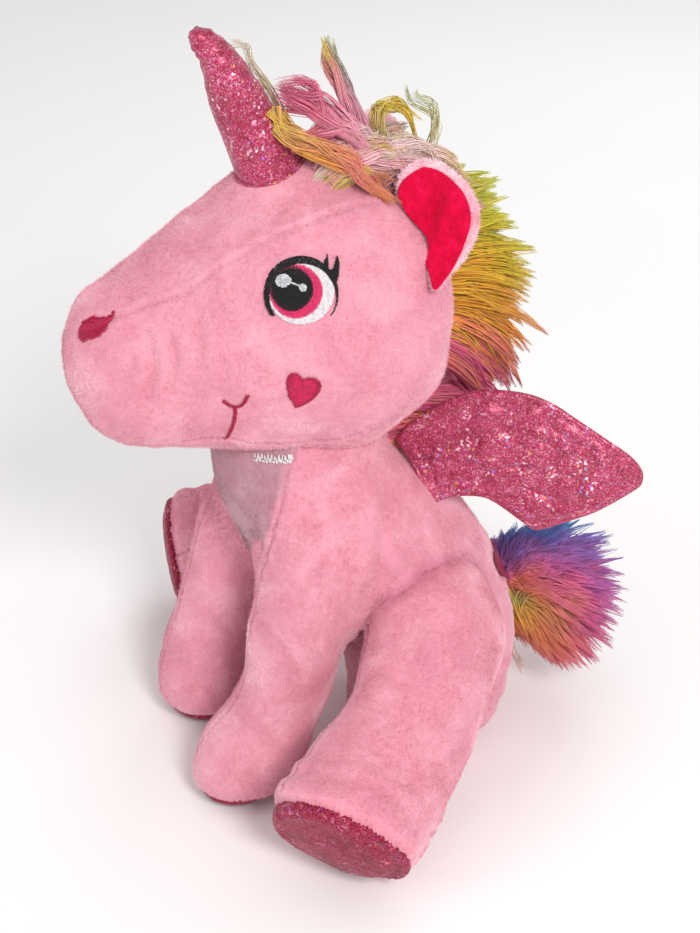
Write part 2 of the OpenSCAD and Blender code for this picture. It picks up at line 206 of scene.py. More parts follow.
def signed(shape, p):
    """Distance of each point outside a skin, and the way out of it."""
    d = np.empty(len(p))
    g = np.empty((len(p), 3))
    find = shape.find_nearest
    for i, q in enumerate(p.tolist()):
        c, n, _, dist = find(q)
        w = (q[0] - c[0], q[1] - c[1], q[2] - c[2])
        out = w[0] * n[0] + w[1] * n[1] + w[2] * n[2] >= 0
        if dist > 0.2:
            k = 1 / dist if out else -1 / dist
            g[i] = (w[0] * k, w[1] * k, w[2] * k)
        else:
            g[i] = n
        d[i] = dist if out else -dist
    return d, g


def fuse(v, own, other, k, rounds=5):
    """Moves a skin's points onto the smooth joint surface that it makes with another one."""
    b0, _ = signed(other, v)
    near = np.nonzero((b0 < k * 1.1) & (b0 > -0.8 * k))[0]
    if not len(near):
        return v
    p = v[near].copy()
    w = ramp(b0[near], -0.8 * k, -0.35 * k)
    for _ in range(rounds):
        a, ga = signed(own, p)
        b, gb = signed(other, p)
        h = np.clip(0.5 + 0.5 * (b - a) / k, 0, 1)
        f = b * (1 - h) + a * h - k * h * (1 - h)
        g = unit(ga * h[:, None] + gb * (1 - h)[:, None])
        p = p - g * (f * 0.9)[:, None]
    out = v.copy()
    out[near] = v[near] + (p - v[near]) * w[:, None]
    return out


def near_line(p, points, steps=160):
    """Distance of points from a curve, and the share along it."""
    t = np.linspace(0, 1, steps)
    c = spline(points, t)
    best = np.full(len(p), 1e9)
    where = np.zeros(len(p))
    for i in range(len(c) - 1):
        a, b = c[i], c[i + 1]
        ab = b - a
        s = np.clip(((p - a) @ ab) / max(ab @ ab, 1e-9), 0, 1)
        d = np.linalg.norm(p - a - s[:, None] * ab, axis=1)
        m = d < best
        best[m] = d[m]
        where[m] = (i + s[m]) / (len(c) - 1)
    return best, where


def groove(v, n, d, along, deep=0.9, wide=1.0, lip=0.35, pitch=2.4):
    """Draws a skin in along a seam, puckers it, and lifts its two lips."""
    cut = -deep * bell(d, wide)
    rim = lip * bell(d - 2.2 * wide, 1.1 * wide)
    pucker = 0.16 * np.sin(along * 2 * math.pi / pitch) * bell(d, 3 * wide)
    return push(v, n, cut + rim + pucker)


def laid(points, skin_, steps=50):
    """A drawn line brought onto a skin."""
    return [tuple(skin_.find_nearest(p)[0]) for p in spline(points, np.linspace(0, 1, steps)).tolist()]


def seam_tone(tone, d, light=0.16, wide=1.7, core=0.26):
    """A seam shows as a pale line of stood-up pile with a dark thread line in its middle."""
    up = 1 + light * bell(d, wide) - core * bell(d, 0.55)
    return tone * np.stack([up**0.5, up, up], 1)


def paint(ob, tone, name="tone"):
    """Gives each point of a mesh its own colour, for the material to read by this name."""
    a = ob.data.attributes.new(name, "FLOAT_COLOR", "POINT")
    a.data.foreach_set("color", np.column_stack([tone, np.ones(len(tone))]).astype(np.float32).ravel())


def shell(v, f, keep, out, thick):
    """A closed thin piece over the kept faces of a skin."""
    n = normals(v, f)
    faces = f[keep]
    used = np.unique(faces)
    index = np.full(len(v), -1)
    index[used] = np.arange(len(used))
    faces = index[faces]
    top = v[used] + n[used] * out
    low = v[used] + n[used] * (out - thick)
    k = len(used)
    edges = {}
    for q in faces.tolist():
        for i in range(4):
            a, b = q[i], q[(i + 1) % 4]
            if (b, a) in edges:
                del edges[(b, a)]
            else:
                edges[(a, b)] = 1
    walls = [(b, a, a + k, b + k) for a, b in edges]
    return np.vstack([top, low]), faces.tolist() + [tuple(i + k for i in reversed(q)) for q in faces.tolist()] + walls


# ---------------------------------------------------------------- materials

def material(name):
    m = bpy.data.materials.new(name)
    m.use_nodes = True
    tree_ = m.node_tree
    return m, tree_, tree_.nodes["Principled BSDF"]


def node(t, kind, **inputs):
    n = t.nodes.new(kind)
    for key, value in inputs.items():
        if hasattr(n, key):
            setattr(n, key, value)
        else:
            n.inputs[key.replace("_", " ")].default_value = value
    return n


def colours(t, factor, stops, interpolation="LINEAR"):
    n = t.nodes.new("ShaderNodeValToRGB")
    n.color_ramp.interpolation = interpolation
    e = n.color_ramp.elements
    while len(e) > len(stops):
        e.remove(e[-1])
    while len(e) < len(stops):
        e.new(0.5)
    for i, (pos, c) in enumerate(stops):
        e[i].position = pos
        e[i].color = (*c, 1)
    t.links.new(factor, n.inputs["Fac"])
    return n.outputs["Color"]


def srgb(r, g, b):
    return tuple((c / 255 / 12.92) if c / 255 <= 0.04045 else ((c / 255 + 0.055) / 1.055) ** 2.4 for c in (r, g, b))


def place(t, scale=(1, 1, 1)):
    c = t.nodes.new("ShaderNodeTexCoord")
    m = t.nodes.new("ShaderNodeMapping")
    m.inputs["Scale"].default_value = scale
    t.links.new(c.outputs["Object"], m.inputs["Vector"])
    return m.outputs["Vector"]


def noise(t, at, scale, detail=2.0, rough=0.5, distortion=0.0):
    n = node(t, "ShaderNodeTexNoise", Scale=scale, Detail=detail, Roughness=rough, Distortion=distortion)
    t.links.new(at, n.inputs["Vector"])
    return n.outputs["Fac"]


def mix(t, factor, a, b, kind="MIX"):
    n = t.nodes.new("ShaderNodeMix")
    n.data_type = "RGBA"
    n.blend_type = kind
    if isinstance(factor, float):
        n.inputs["Factor"].default_value = factor
    else:
        t.links.new(factor, n.inputs["Factor"])
    for value, socket in ((a, n.inputs[6]), (b, n.inputs[7])):
        if isinstance(value, tuple):
            socket.default_value = (*value, 1)
        else:
            t.links.new(value, socket)
    return n.outputs[2]


def bump(t, height, distance, strength=1.0, before=None):
    n = node(t, "ShaderNodeBump", Strength=strength, Distance=distance)
    t.links.new(height, n.inputs["Height"])
    if before is not None:
        t.links.new(before, n.inputs["Normal"])
    return n.outputs["Normal"]


def plush(name, deep, mid, pale, fibre=False, toned=False):
    """Short brushed pile: patches of nap, fine fibre grain and a soft sheen."""
    m, t, b = material(name)
    at = place(t)
    patches = noise(t, at, 60, 3.0, 0.55, 0.6)
    tufts = noise(t, at, 520, 3.0, 0.6)
    base = colours(t, patches, [(0.32, deep), (0.5, mid), (0.66, pale)])
    grain = colours(t, tufts, [(0.34, (0.96, 0.92, 0.93)), (0.56, (1.0, 1.0, 1.0)), (0.72, (1.03, 1.08, 1.07))])
    base = mix(t, 1.0, base, grain, "MULTIPLY")
    # the tone attribute carries the seam marks and the painted shade of the chest gusset and the hind leg creases
    if toned:
        a = t.nodes.new("ShaderNodeAttribute")
        a.attribute_name = "tone"
        base = mix(t, 1.0, base, a.outputs["Color"], "MULTIPLY")
    t.links.new(base, b.inputs["Base Color"])
    b.inputs["Roughness"].default_value = 0.92
    b.inputs["Specular IOR Level"].default_value = 0.15
    b.inputs["Sheen Weight"].default_value = 0.6 if not fibre else 0.35
    b.inputs["Sheen Roughness"].default_value = 0.4
    b.inputs["Sheen Tint"].default_value = (*srgb(250, 232, 236), 1)
    if not fibre:
        first = bump(t, noise(t, at, 160, 4.0, 0.65, 0.3), 0.0007, 0.7)
        t.links.new(bump(t, noise(t, at, 1300, 3.0, 0.7), 0.0004, 0.9, first), b.inputs["Normal"])
    return m


def glitter(name, dim=1.0, glint_strength=1.0, wrinkled=False):
    """Crimson cloth covered in fine holographic flakes, with brighter flakes in drifts: real flakes, painted pale and
    bright as painted glints.
    """
    m, t, b = material(name)
    at = place(t)
    cells = node(t, "ShaderNodeTexVoronoi", Scale=2500.0)
    t.links.new(at, cells.inputs["Vector"])
    big = node(t, "ShaderNodeTexVoronoi", Scale=1150.0)
    t.links.new(at, big.inputs["Vector"])
    pick = t.nodes.new("ShaderNodeSeparateColor")
    t.links.new(cells.outputs["Color"], pick.inputs["Color"])
    pick_big = t.nodes.new("ShaderNodeSeparateColor")
    t.links.new(big.outputs["Color"], pick_big.inputs["Color"])
    zones = noise(t, at, 105, 3.0, 0.55, 0.9)

    def c(*rgb):
        return tuple(q * dim for q in srgb(*rgb))

    ground = colours(t, zones, [(0.36, c(150, 18, 56)), (0.5, c(178, 38, 84)), (0.64, c(196, 70, 114))])
    flake = colours(t, pick.outputs["Red"], [
        (0.0, c(140, 14, 54)), (0.25, c(180, 40, 86)), (0.48, c(196, 64, 108)), (0.66, c(214, 96, 138)),
        (0.80, c(232, 140, 172)), (0.92, c(250, 208, 224)), (0.955, c(190, 124, 206)), (0.98, c(240, 196, 146))],
        "CONSTANT")
    base = mix(t, colours(t, zones, [(0.35, (0.30,) * 3), (0.62, (0.75,) * 3)]), ground, flake)
    # painted glints: the cloth's flakes in drifts painted pale and bright, as if they caught the light
    glint_flakes = colours(t, pick_big.outputs["Green"], [
        (0.0, (0.0,) * 3), (0.84, (0.6,) * 3), (0.94, (0.95,) * 3)], "CONSTANT")
    hue = colours(t, pick_big.outputs["Blue"], [
        (0.0, srgb(255, 222, 236)), (0.4, srgb(255, 160, 200)), (0.62, srgb(178, 120, 226)),
        (0.76, srgb(140, 176, 232)), (0.86, srgb(255, 196, 120))], "CONSTANT")
    area = colours(t, noise(t, at, 115, 2.0, 0.5), [(0.48, (0.0,) * 3), (0.58, (glint_strength,) * 3)])
    glint_flakes = mix(t, 1.0, glint_flakes, area, "MULTIPLY")
    base = mix(t, glint_flakes, base, hue)
    if wrinkled:
        base = mix(t, 1.0, base, (1.0, 0.5, 0.64), "MULTIPLY")
    t.links.new(base, b.inputs["Base Color"])
    b.inputs["Roughness"].default_value = 0.38
    b.inputs["Metallic"].default_value = 0.25
    b.inputs["Specular IOR Level"].default_value = 0.3 if wrinkled else 0.55
    b.inputs["Sheen Weight"].default_value = 0.0 if wrinkled else 0.08
    first = bump(t, pick.outputs["Blue"], 0.00015, 0.7)
    first = bump(t, pick_big.outputs["Red"], 0.0002, 0.3, first)
    if wrinkled:
        wave = node(t, "ShaderNodeTexWave", Scale=210.0, Distortion=9.0, Detail=2.0)
        wave.inputs["Detail Scale"].default_value = 1.4
        t.links.new(at, wave.inputs["Vector"])
        first = bump(t, wave.outputs["Fac"], 0.0004, 0.8, first)
    t.links.new(bump(t, noise(t, at, 210, 2.0, 0.5), 0.0012, 0.6, first), b.inputs["Normal"])
    return m


def thread(name, colour, dark, gloss=0.42):
    m, t, b = material(name)
    at = place(t)
    n = noise(t, at, 900, 3.0, 0.6)
    t.links.new(colours(t, n, [(0.35, dark), (0.6, colour)]), b.inputs["Base Color"])
    b.inputs["Roughness"].default_value = gloss
    b.inputs["Sheen Weight"].default_value = 0.03
    t.links.new(bump(t, noise(t, at, 2600, 2.0, 0.6), 0.00012, 0.7), b.inputs["Normal"])
    return m


def fleece(name):
    m, t, b = material(name)
    at = place(t)
    base = colours(t, noise(t, at, 260, 3.0, 0.6), [
        (0.34, srgb(198, 0, 50)), (0.55, srgb(214, 2, 62)), (0.72, srgb(224, 12, 76))])
    t.links.new(base, b.inputs["Base Color"])
    b.inputs["Roughness"].default_value = 0.9
    b.inputs["Specular IOR Level"].default_value = 0.15
    b.inputs["Sheen Weight"].default_value = 0.2
    b.inputs["Sheen Tint"].default_value = (*srgb(255, 120, 170), 1)
    first = bump(t, noise(t, at, 300, 3.0, 0.6), 0.0006, 0.6)
    t.links.new(bump(t, noise(t, at, 1700, 2.0, 0.7), 0.0003, 0.8, first), b.inputs["Normal"])
    return m


def hair(name, sheen=0.2):
    """Long pile: each strand keeps its own dyed colour, broken up along its length."""
    m, t, b = material(name)
    a = t.nodes.new("ShaderNodeAttribute")
    a.attribute_name = "dye"
    at = place(t)
    grain = colours(t, noise(t, at, 520, 3.0, 0.6), [(0.32, (0.84, 0.82, 0.8)), (0.58, (1.0, 1.0, 1.0))])
    base = mix(t, 1.0, a.outputs["Color"], grain, "MULTIPLY")
    t.links.new(base, b.inputs["Base Color"])
    b.inputs["Roughness"].default_value = 0.62
    b.inputs["Specular IOR Level"].default_value = 0.3
    b.inputs["Sheen Weight"].default_value = sheen
    t.links.new(bump(t, noise(t, at, 1500, 2.0, 0.6), 0.0002, 0.6), b.inputs["Normal"])
    return m


def fluff(name):
    m, t, b = material(name)
    at = place(t)
    t.links.new(colours(t, noise(t, at, 300, 4.0, 0.6), [(0.35, srgb(214, 212, 208)), (0.6, srgb(244, 243, 240))]),
                b.inputs["Base Color"])
    b.inputs["Roughness"].default_value = 0.95
    b.inputs["Sheen Weight"].default_value = 0.3
    t.links.new(bump(t, noise(t, at, 700, 4.0, 0.7), 0.0008, 0.9), b.inputs["Normal"])
    return m


PINK = plush("pink_plush", srgb(220, 144, 163), srgb(227, 153, 171), srgb(232, 163, 180), False, True)
PINK_FIBRE = plush("pink_fibre", srgb(226, 160, 176), srgb(234, 171, 186), srgb(247, 205, 215), True, True)
# painted light: the ear backs are the same pink plush as the body, painted paler for the light that their fuzzy rims
# catch
EAR_BACK_LIT_PLUSH = plush("pink_plush_painted_light", srgb(240, 172, 192), srgb(247, 192, 208), srgb(252, 214, 226))
EAR_BACK_LIT_FIBRE = plush("pink_fibre_painted_light", srgb(244, 190, 206), srgb(250, 214, 225), srgb(255, 236, 242), True)
GLITTER = glitter("glitter_cloth", 0.93)
SOLE = glitter("glitter_sole_cloth", 0.66, 0.6, True)
FLEECE = fleece("hot_pink_fleece")
WHITE = thread("white_thread", srgb(232, 229, 230), srgb(206, 200, 204))
MAGENTA = thread("magenta_thread", srgb(204, 16, 84), srgb(164, 6, 60))
CRIMSON = thread("crimson_thread", srgb(184, 6, 72), srgb(146, 2, 50))
RUMP = thread("rump_thread", srgb(150, 12, 66), srgb(112, 4, 44))
BLACK = thread("black_thread", srgb(12, 8, 12), srgb(3, 2, 4), 0.7)
IRIS = thread("rose_thread", srgb(222, 46, 112), srgb(190, 22, 84))
GLINT = thread("glint_thread", srgb(214, 214, 218), srgb(170, 172, 178))
EDGE = thread("edge_thread", srgb(214, 110, 150), srgb(150, 30, 72))
HAIR = hair("rainbow_long_pile")
FLUFF = fluff("polyester_fill")

# ---------------------------------------------------------------- base shapes, in mm, as in the frame

HEAD = [
    (0, -124.3, 171.5, 4, 4), (0, -121, 171.8, 15, 15), (0, -113, 172.3, 24, 24), (0, -98, 173.8, 30, 30),
    (0, -84, 176.5, 36.4, 36.9), (0, -64, 181, 43.4, 45.7), (0, -46, 184.5, 47.4, 51.4), (0, -27, 186, 48.4, 52.4),
    (0, -9, 186, 42.4, 44), (0, 2, 186, 30.5, 30.5), (0, 9, 186, 7, 7)]
TORSO = [
    (0, 1, 0, 8, 8), (0, 1.5, 0.2, 26, 24), (0, 3, 2.4, 31, 27), (0, 6.5, 12, 39, 29.5), (0, 7, 34, 46, 32.5),
    (0, 0, 60, 46.5, 38.5), (0, -18.3, 90, 44, 43.3), (0, -33, 114, 40, 40), (0, -43, 130, 33, 33), (0, -43, 146, 31, 31),
    (0, -43, 150, 20, 20)]
FRONT = [
    (20, -37, 122, 4, 4), (21, -38, 119, 9, 9), (24, -41.5, 109, 15.5, 15.5), (27.5, -47.5, 94, 18.2, 18.2),
    (29, -52, 80, 18, 18), (29, -56, 62, 17.3, 17.3), (28.5, -60, 46, 16.8, 16.5), (27.8, -66, 30, 17.6, 17.6),
    (27.2, -74.5, 17, 18.6, 19.5), (26.8, -77.2, 9, 16.6, 17.8), (26.5, -77, 3, 11, 12), (26.5, -77, 0.2, 4, 5)]
FAR_FRONT = [
    (-20, -38, 122, 4, 4), (-21, -39, 119, 9, 9), (-24, -43, 109, 15.5, 15.5), (-28, -51, 94, 18.8, 18.8),
    (-29.4, -57.5, 80, 19, 19), (-29.2, -63.5, 62, 18.6, 18.6), (-28.3, -69, 42, 18.3, 18.6),
    (-27.5, -74.5, 24, 18.6, 19.5), (-26.8, -76, 11, 17.2, 18), (-26.5, -76, 3, 12, 13), (-26.5, -76, 0.2, 5, 6)]
NEAR = [
    (22, 10, 82, 4, 4), (25, 7, 80, 15, 15), (37, -3, 70.5, 26, 26), (54, -14, 58, 25, 25),
    (71.5, -30, 44.2, 24.4, 24.4), (84.5, -47.5, 33.6, 27, 27), (92.5, -59, 27.7, 26.3, 26.3),
    (95.6, -62.2, 25.5, 20.5, 20.5), (97, -63.6, 24.6, 6, 6)]
FAR = [
    (-22, 10, 82, 4, 4), (-25, 7, 80, 15, 15), (-37, -4, 70.5, 26.5, 26.5), (-56, -17, 57, 27.2, 27.2),
    (-76, -32, 43.5, 27.3, 27.3), (-91, -51, 33.5, 28.3, 28.3), (-96, -67, 30, 26.3, 26.3),
    (-97.3, -71.5, 29.2, 20.5, 20.5), (-97.8, -73.6, 28.9, 6, 6)]
HORN = [
    (0, -46.5, 224, 11.6, 11.6), (0, -51, 235, 11.6, 11.6), (0, -57.5, 250, 10.1, 10.1), (0, -64.4, 266, 8.3, 8.3),
    (0, -69.5, 277, 5.8, 5.8), (0, -74, 282.5, 4.2, 4.2), (0, -77, 284.6, 1.5, 1.5)]
NEAR_TOE, NEAR_RUN = np.array((92.5, -59, 27.5)), unit((0.61, -0.63, -0.47))
FAR_TOE, FAR_RUN = np.array((-96, -67, 30.0)), unit((-0.25, -0.95, -0.18))

FINE = 1.25        # size of a skin's quads
ROUNDS = 6         # smoothing rounds after the remesh
AHEAD = (1, 0, 0)  # the direction a straight part is lofted across


def skin(stations, side, more=0.0, level=None):
    return resurface([loft(stations, side, level=level, more=more)], FINE, ROUNDS)


torso_v, torso_f = skin(TORSO, AHEAD, -0.7, (0, 0, 1))
head_v, head_f = skin(HEAD, AHEAD)
legs = {
    "front_left": skin(FRONT, AHEAD, -0.4),
    "front_right": skin(FAR_FRONT, AHEAD, -0.4),
    "hind_left": skin(NEAR, (0.7, 0.7, 0), -0.7),
    "hind_right": skin(FAR, (0.7, -0.7, 0), -0.7)}
torso_tree, head_tree = tree(torso_v, torso_f), tree(head_v, head_f)
leg_trees = {k: tree(*m) for k, m in legs.items()}
JOINT = {"front_left": 15.0, "front_right": 15.0, "hind_left": 3.0, "hind_right": 3.0}
fused_torso = torso_v
for k, other in leg_trees.items():
    fused_torso = fuse(fused_torso, torso_tree, other, JOINT[k])
fused = {k: fuse(legs[k][0], leg_trees[k], torso_tree, JOINT[k]) for k in legs}


def flat_floor(v, low=0.0, soft=1.2):
    """Keeps points above the floor, with a small rounding."""
    z = v[:, 2]
    v[:, 2] = np.where(z < low + soft, low + soft * np.exp(np.minimum(z - low - soft, 0) / soft) * 0.98, z)
    return v


# ---- torso: chest gusset seams that run on down the front legs, back seam, nap, and painted shade on the chest gusset and by the hind legs
CHEST = {
    1: [(29.5, -53.8, 145.2), (29.6, -57, 137), (29.5, -58.8, 127), (29, -60.7, 115.6), (27.5, -63, 104),
        (26.5, -65.7, 94), (27.8, -70, 80), (28, -73.3, 62), (27.5, -76.8, 46), (26, -84, 30), (24.5, -93.5, 17),
        (24, -94, 8)],
    -1: [(-29.5, -53.8, 145.2), (-29.6, -57, 137), (-29.5, -58.8, 127), (-29, -60.7, 115.6), (-27.5, -65, 104),
         (-27, -69.7, 94), (-28.5, -76.3, 80), (-28.3, -82, 62), (-27.6, -87.4, 42), (-26.5, -93.8, 24),
         (-25.5, -94, 11)]}
PAINTED_CHEST_SHADE = np.array([[0.34, 0.18, 0.22]])         # how much painted shade darkens the chest gusset, for the shade of the head and front legs and partly the darker look of its nap
PAINTED_CREASE_SHADE = np.array([[0.16, 0.26, 0.22]])  # and painted shade in the crease where a hind leg meets the body
v = fused_torso
n = normals(v, torso_f)
side_x = np.abs(v[:, 0])
tone = np.ones((len(v), 3))
at_z = np.interp(v[:, 2], [60, 94, 104, 115.6, 145], [23, 26.5, 27.5, 29, 29.5])
# painted shade: the chest gusset between the front legs is darkened where the head and legs shade it
gusset = ramp(at_z - side_x, -0.5, 2.5) * ramp(-v[:, 1], 30, 42) * ramp(v[:, 2], 30, 60)
tone = tone * (1 - gusset[:, None] * PAINTED_CHEST_SHADE)
shape = tree(fused_torso, torso_f)
for s in (1, -1):
    d, u = near_line(v, laid(CHEST[s][:7], shape))
    v = groove(v, n, d, u * 80, 0.9, 0.8, 0.7, 2.6)
    tone = seam_tone(tone, d)
back = (v[:, 1] > -10) & (v[:, 2] > 6)
d = np.where(back, side_x, 99)
v = groove(v, n, d, v[:, 2], 0.7, 0.9, 0.5, 3.0)
tone = seam_tone(tone, d, 0.1)
for line in ([(31, -48, 146), (34, -40, 143), (35, -28, 139), (31, -14, 134)],
             [(40, -24, 112), (44, -12, 100), (46, -2, 88)]):
    for s in (1, -1):
        d, u = near_line(v, laid(sided(line, s), shape))
        v = push(v, n, -(0.9 * bell(d, 2.2) * swell(u)))
SHOULDER = [(27.5, -17.3, 123.9), (35.3, -22, 119), (40.5, -25.7, 110.3), (42.7, -28.2, 97.4), (42, -29, 86)]
d, u = near_line(v, laid(SHOULDER, shape))
v = push(v, n, (-1.3 * bell(d, 3.0) + 0.6 * bell(d - 7, 3.5)) * swell(u))
# painted shade: the torso is darkened close to each hind leg, in the crease where they meet
for k in ("hind_left", "hind_right"):
    d, _ = signed(leg_trees[k], v)
    tone = tone * (1 - bell(d, 3.2)[:, None] * PAINTED_CREASE_SHADE)
n = normals(v, torso_f)
v = push(v, n, 0.55 * waves(v, 17, 3) + 0.28 * waves(v, 6, 4))
v = push(v, n, 0.10 * waves(v, 2.4, 5))
torso_v2 = flat_floor(v)
torso_tone = tone
torso = add("torso_plush", torso_v2, torso_f, PINK)
paint(torso, tone)

# ---- head: brow and jaw seams, muzzle folds, a raised ring of plush round the horn
v = head_v.copy()
n = normals(v, head_f)
tone = np.ones((len(v), 3))
brow = [(5, -116, 190), (12.8, -108.1, 196.7), (16.4, -98.6, 201.6), (22.3, -87.8, 207.1), (24.6, -75, 215.7),
        (26.3, -61.2, 223.1), (27, -46.9, 227.7), (25.3, -29.6, 230.7), (24.4, -19.6, 230.1)]
jaw = [(24, -92, 152), (28.7, -78.8, 155.4), (29.5, -70, 152.5), (31.5, -59.2, 150.6), (35, -46.2, 151.6),
       (38.5, -33.7, 154)]
FOLDS = (
    ([(19.4, -102.7, 195.1), (25.3, -100.9, 189), (27.5, -101.9, 182), (27.5, -104.9, 174)], 1.5),
    ([(23.2, -96.1, 198.1), (28.1, -95, 191.9), (30.5, -95.4, 183.8), (30.3, -97.4, 175.1)], 1.2),
    ([(27, -87.9, 202.1), (31.1, -86.8, 196.6), (33.4, -87.1, 190.6), (34.2, -88.6, 184)], 0.8),
    ([(36.5, -46, 223), (40.5, -36, 218), (42, -28, 210)], 0.6))
for s in (1, -1):
    d, u = near_line(v, laid(sided(brow, s), head_tree))
    v = groove(v, n, d, u * 120, 0.45, 1.0, 0.4, 2.8)
    tone = seam_tone(tone, d, 0.07, 2.4, 0.08)
    d, u = near_line(v, laid(sided(jaw, s), head_tree))
    v = groove(v, n, d, u * 60, 0.7, 0.9, 0.5, 2.6)
    tone = seam_tone(tone, d, 0.1)
    for line, deep in FOLDS:
        d, u = near_line(v, laid(sided(line, s), head_tree))
        v = push(v, n, (-deep * bell(d, 1.9) + 0.5 * deep * bell(d - 3.6, 1.8)) * swell(u))
chin = np.where((v[:, 2] < 176) & (v[:, 1] < -40), np.abs(v[:, 0]), 99)
v = groove(v, n, chin, v[:, 1], 0.8, 1.0, 0.3, 2.8)
# each swelling: its middle, its height and its width
SWELLINGS = (((32.5, -12.5, 213.5), 2.8, 5), ((-32.5, -12.5, 213.5), 2.8, 5),
             ((-10, -115, 199.5), 3.3, 20), ((0, -98, 211), 1.3, 16))
for middle, high, wide in SWELLINGS:
    v = push(v, n, high * bell(np.linalg.norm(v - np.array(middle), axis=1), wide))
ring = np.linalg.norm(v - np.array((0, -50.5, 236.0)), axis=1)
v = push(v, n, 3.4 * bell(np.maximum(ring - 9, 0), 7.5))
v = push(v, n, 0.6 * waves(v, 20, 6) + 0.22 * waves(v, 6.5, 7))
v = push(v, n, 0.10 * waves(v, 2.4, 8))
head_v2 = v
head_tone = tone
head = add("head_plush", head_v2, head_f, PINK)
paint(head, tone)
head_skin = tree(head_v2, head_f)
torso_skin = tree(torso_v2, torso_f)

# ---- legs: seams down each, a drawn-in sole edge, soft dents
leg_obs, leg_v, leg_tone = {}, {}, {}
for k in legs:
    v, f = fused[k], legs[k][1]
    n = normals(v, f)
    s = 1 if "left" in k else -1
    tone = np.ones((len(v), 3))
    shape = tree(v, f)
    if "front" in k:
        rear = sided([(33, -36, 92), (33, -38, 66), (31, -44, 42), (30, -54, 20), (29, -60, 8)], s)
        lines = [(CHEST[s][3:], 0.8), (rear, 0.6)]
        past = 7.0 - v[:, 2]
    else:
        toe, run = (NEAR_TOE, NEAR_RUN) if s > 0 else (FAR_TOE, FAR_RUN)
        past = (v - toe) @ run
        if s > 0:
            lines = [([(36, -30, 77), (49, -42, 68), (64, -56, 57), (76, -67, 48), (83, -74, 42)], 0.8),
                     ([(54, -21, 29.5), (71, -36, 15.5), (84, -51, 4.4), (90, -58, 1.5)], 0.6)]
        else:
            lines = [([(-37, -30, 77), (-50, -42, 68), (-64, -54, 57), (-72, -66, 48), (-74, -76, 44)], 0.8),
                     ([(-56, -18, 29.5), (-76, -33, 16), (-91, -52, 5), (-96, -66, 3.6)], 0.6)]
    for line, deep in lines:
        d, u = near_line(v, laid(line, shape))
        v = groove(v, n, d, u * 90, deep, 0.8, 0.6, 2.6)
        tone = seam_tone(tone, d)
    # painted shade: a hind leg is darkened close to the torso, in the crease where they meet
    if "hind" in k:
        d, _ = signed(torso_tree, v)
        tone = tone * (1 - bell(d, 3.2)[:, None] * PAINTED_CREASE_SHADE)
    n = normals(v, f)
    v = push(v, n, -(1.1 * bell(past, 1.3)))
    v = push(v, n, 0.9 * bell(past + 5, 4))
    tone = tone * (1 + 0.14 * bell(past + 1.5, 2))[:, None]
    if "hind" in k:
        v = push(v, n, 0.55 * bell(past + 13, 7) * np.sin((past + 3 * waves(v, 14, 21)) * 2 * math.pi / 8))
    v = push(v, n, (0.5 * waves(v, 16, 12) + 0.22 * waves(v, 6, 13)) * ramp(-past, -1, 4))
    v = push(v, n, 0.10 * waves(v, 2.4, 14) * ramp(-past, -1, 3))
    cover = flat_floor(v.copy(), 0.9)
    leg_v[k] = (cover, f, past, v)
    leg_tone[k] = tone
    leg_obs[k] = add(k + "_leg_plush", cover, f, PINK)
    paint(leg_obs[k], tone)
leg_skins = {k: tree(m[0], m[1]) for k, m in leg_v.items()}


def bend(ob):
    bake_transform(ob)


# ---------------------------------------------------------------- pile fibres

def pile(name, v, f, count, length, seed, material, nap, mask=None, width=0.24, spread=0.5,
         tone=None):
    """Short fibres standing on a skin, laid over by the nap."""
    r = np.random.default_rng(seed)
    a, b, c, d = (v[f[:, i]] for i in range(4))
    area = np.linalg.norm(np.cross(c - a, d - b), axis=1)
    ok = np.ones(len(f), bool) if mask is None else mask((a + b + c + d) / 4)
    area = np.where(ok, area, 0)
    face = r.choice(len(f), size=count, p=area / area.sum())
    s, t = r.random(count)[:, None], r.random(count)[:, None]
    root = (a[face] * (1 - s) + b[face] * s) * (1 - t) + (d[face] * (1 - s) + c[face] * s) * t
    n = normals(v, f)
    up = unit(n[f[face]].mean(1))
    lay = np.array(nap, float) + 0.5 * np.stack([waves(root, 14, 31 + i) for i in range(3)], 1)
    lay = lay - up * (lay * up).sum(1)[:, None]
    way = unit(up + 1.1 * lay + r.normal(size=(count, 3)) * spread * 0.55)
    tall = length * r.uniform(0.6, 1.15, (count, 1))
    across = unit(np.cross(way, r.normal(size=(count, 3)))) * width * 0.5
    root = root - up * 0.25
    points = np.stack([root - across, root + across, root + way * tall], 1).reshape(-1, 3)
    faces = np.arange(count * 3).reshape(-1, 3)
    ob = add(name, points, faces, material, smooth=False)
    uv = ob.data.uv_layers.new(name="OFBake")
    spot = np.stack([r.random(count) * 0.96 + 0.01, r.random(count) * 0.96 + 0.01], 1)
    flat = np.repeat(spot, 3, 0) + np.tile([[0, 0], [0.012, 0], [0.006, 0.02]], (count, 1))
    uv.data.foreach_set("uv", flat.astype(np.float32).ravel())
    if tone is not None:
        paint(ob, np.repeat(tone[f[face, 0]], 3, 0))
    return ob


def outside(*skins):
    """A test for points further than its room outside each of the given skins."""
    def test(p):
        ok = np.ones(len(p), bool)
        for skin_, room in skins:
            d, _ = signed(skin_, p)
            ok &= d > room
        return ok
    return test


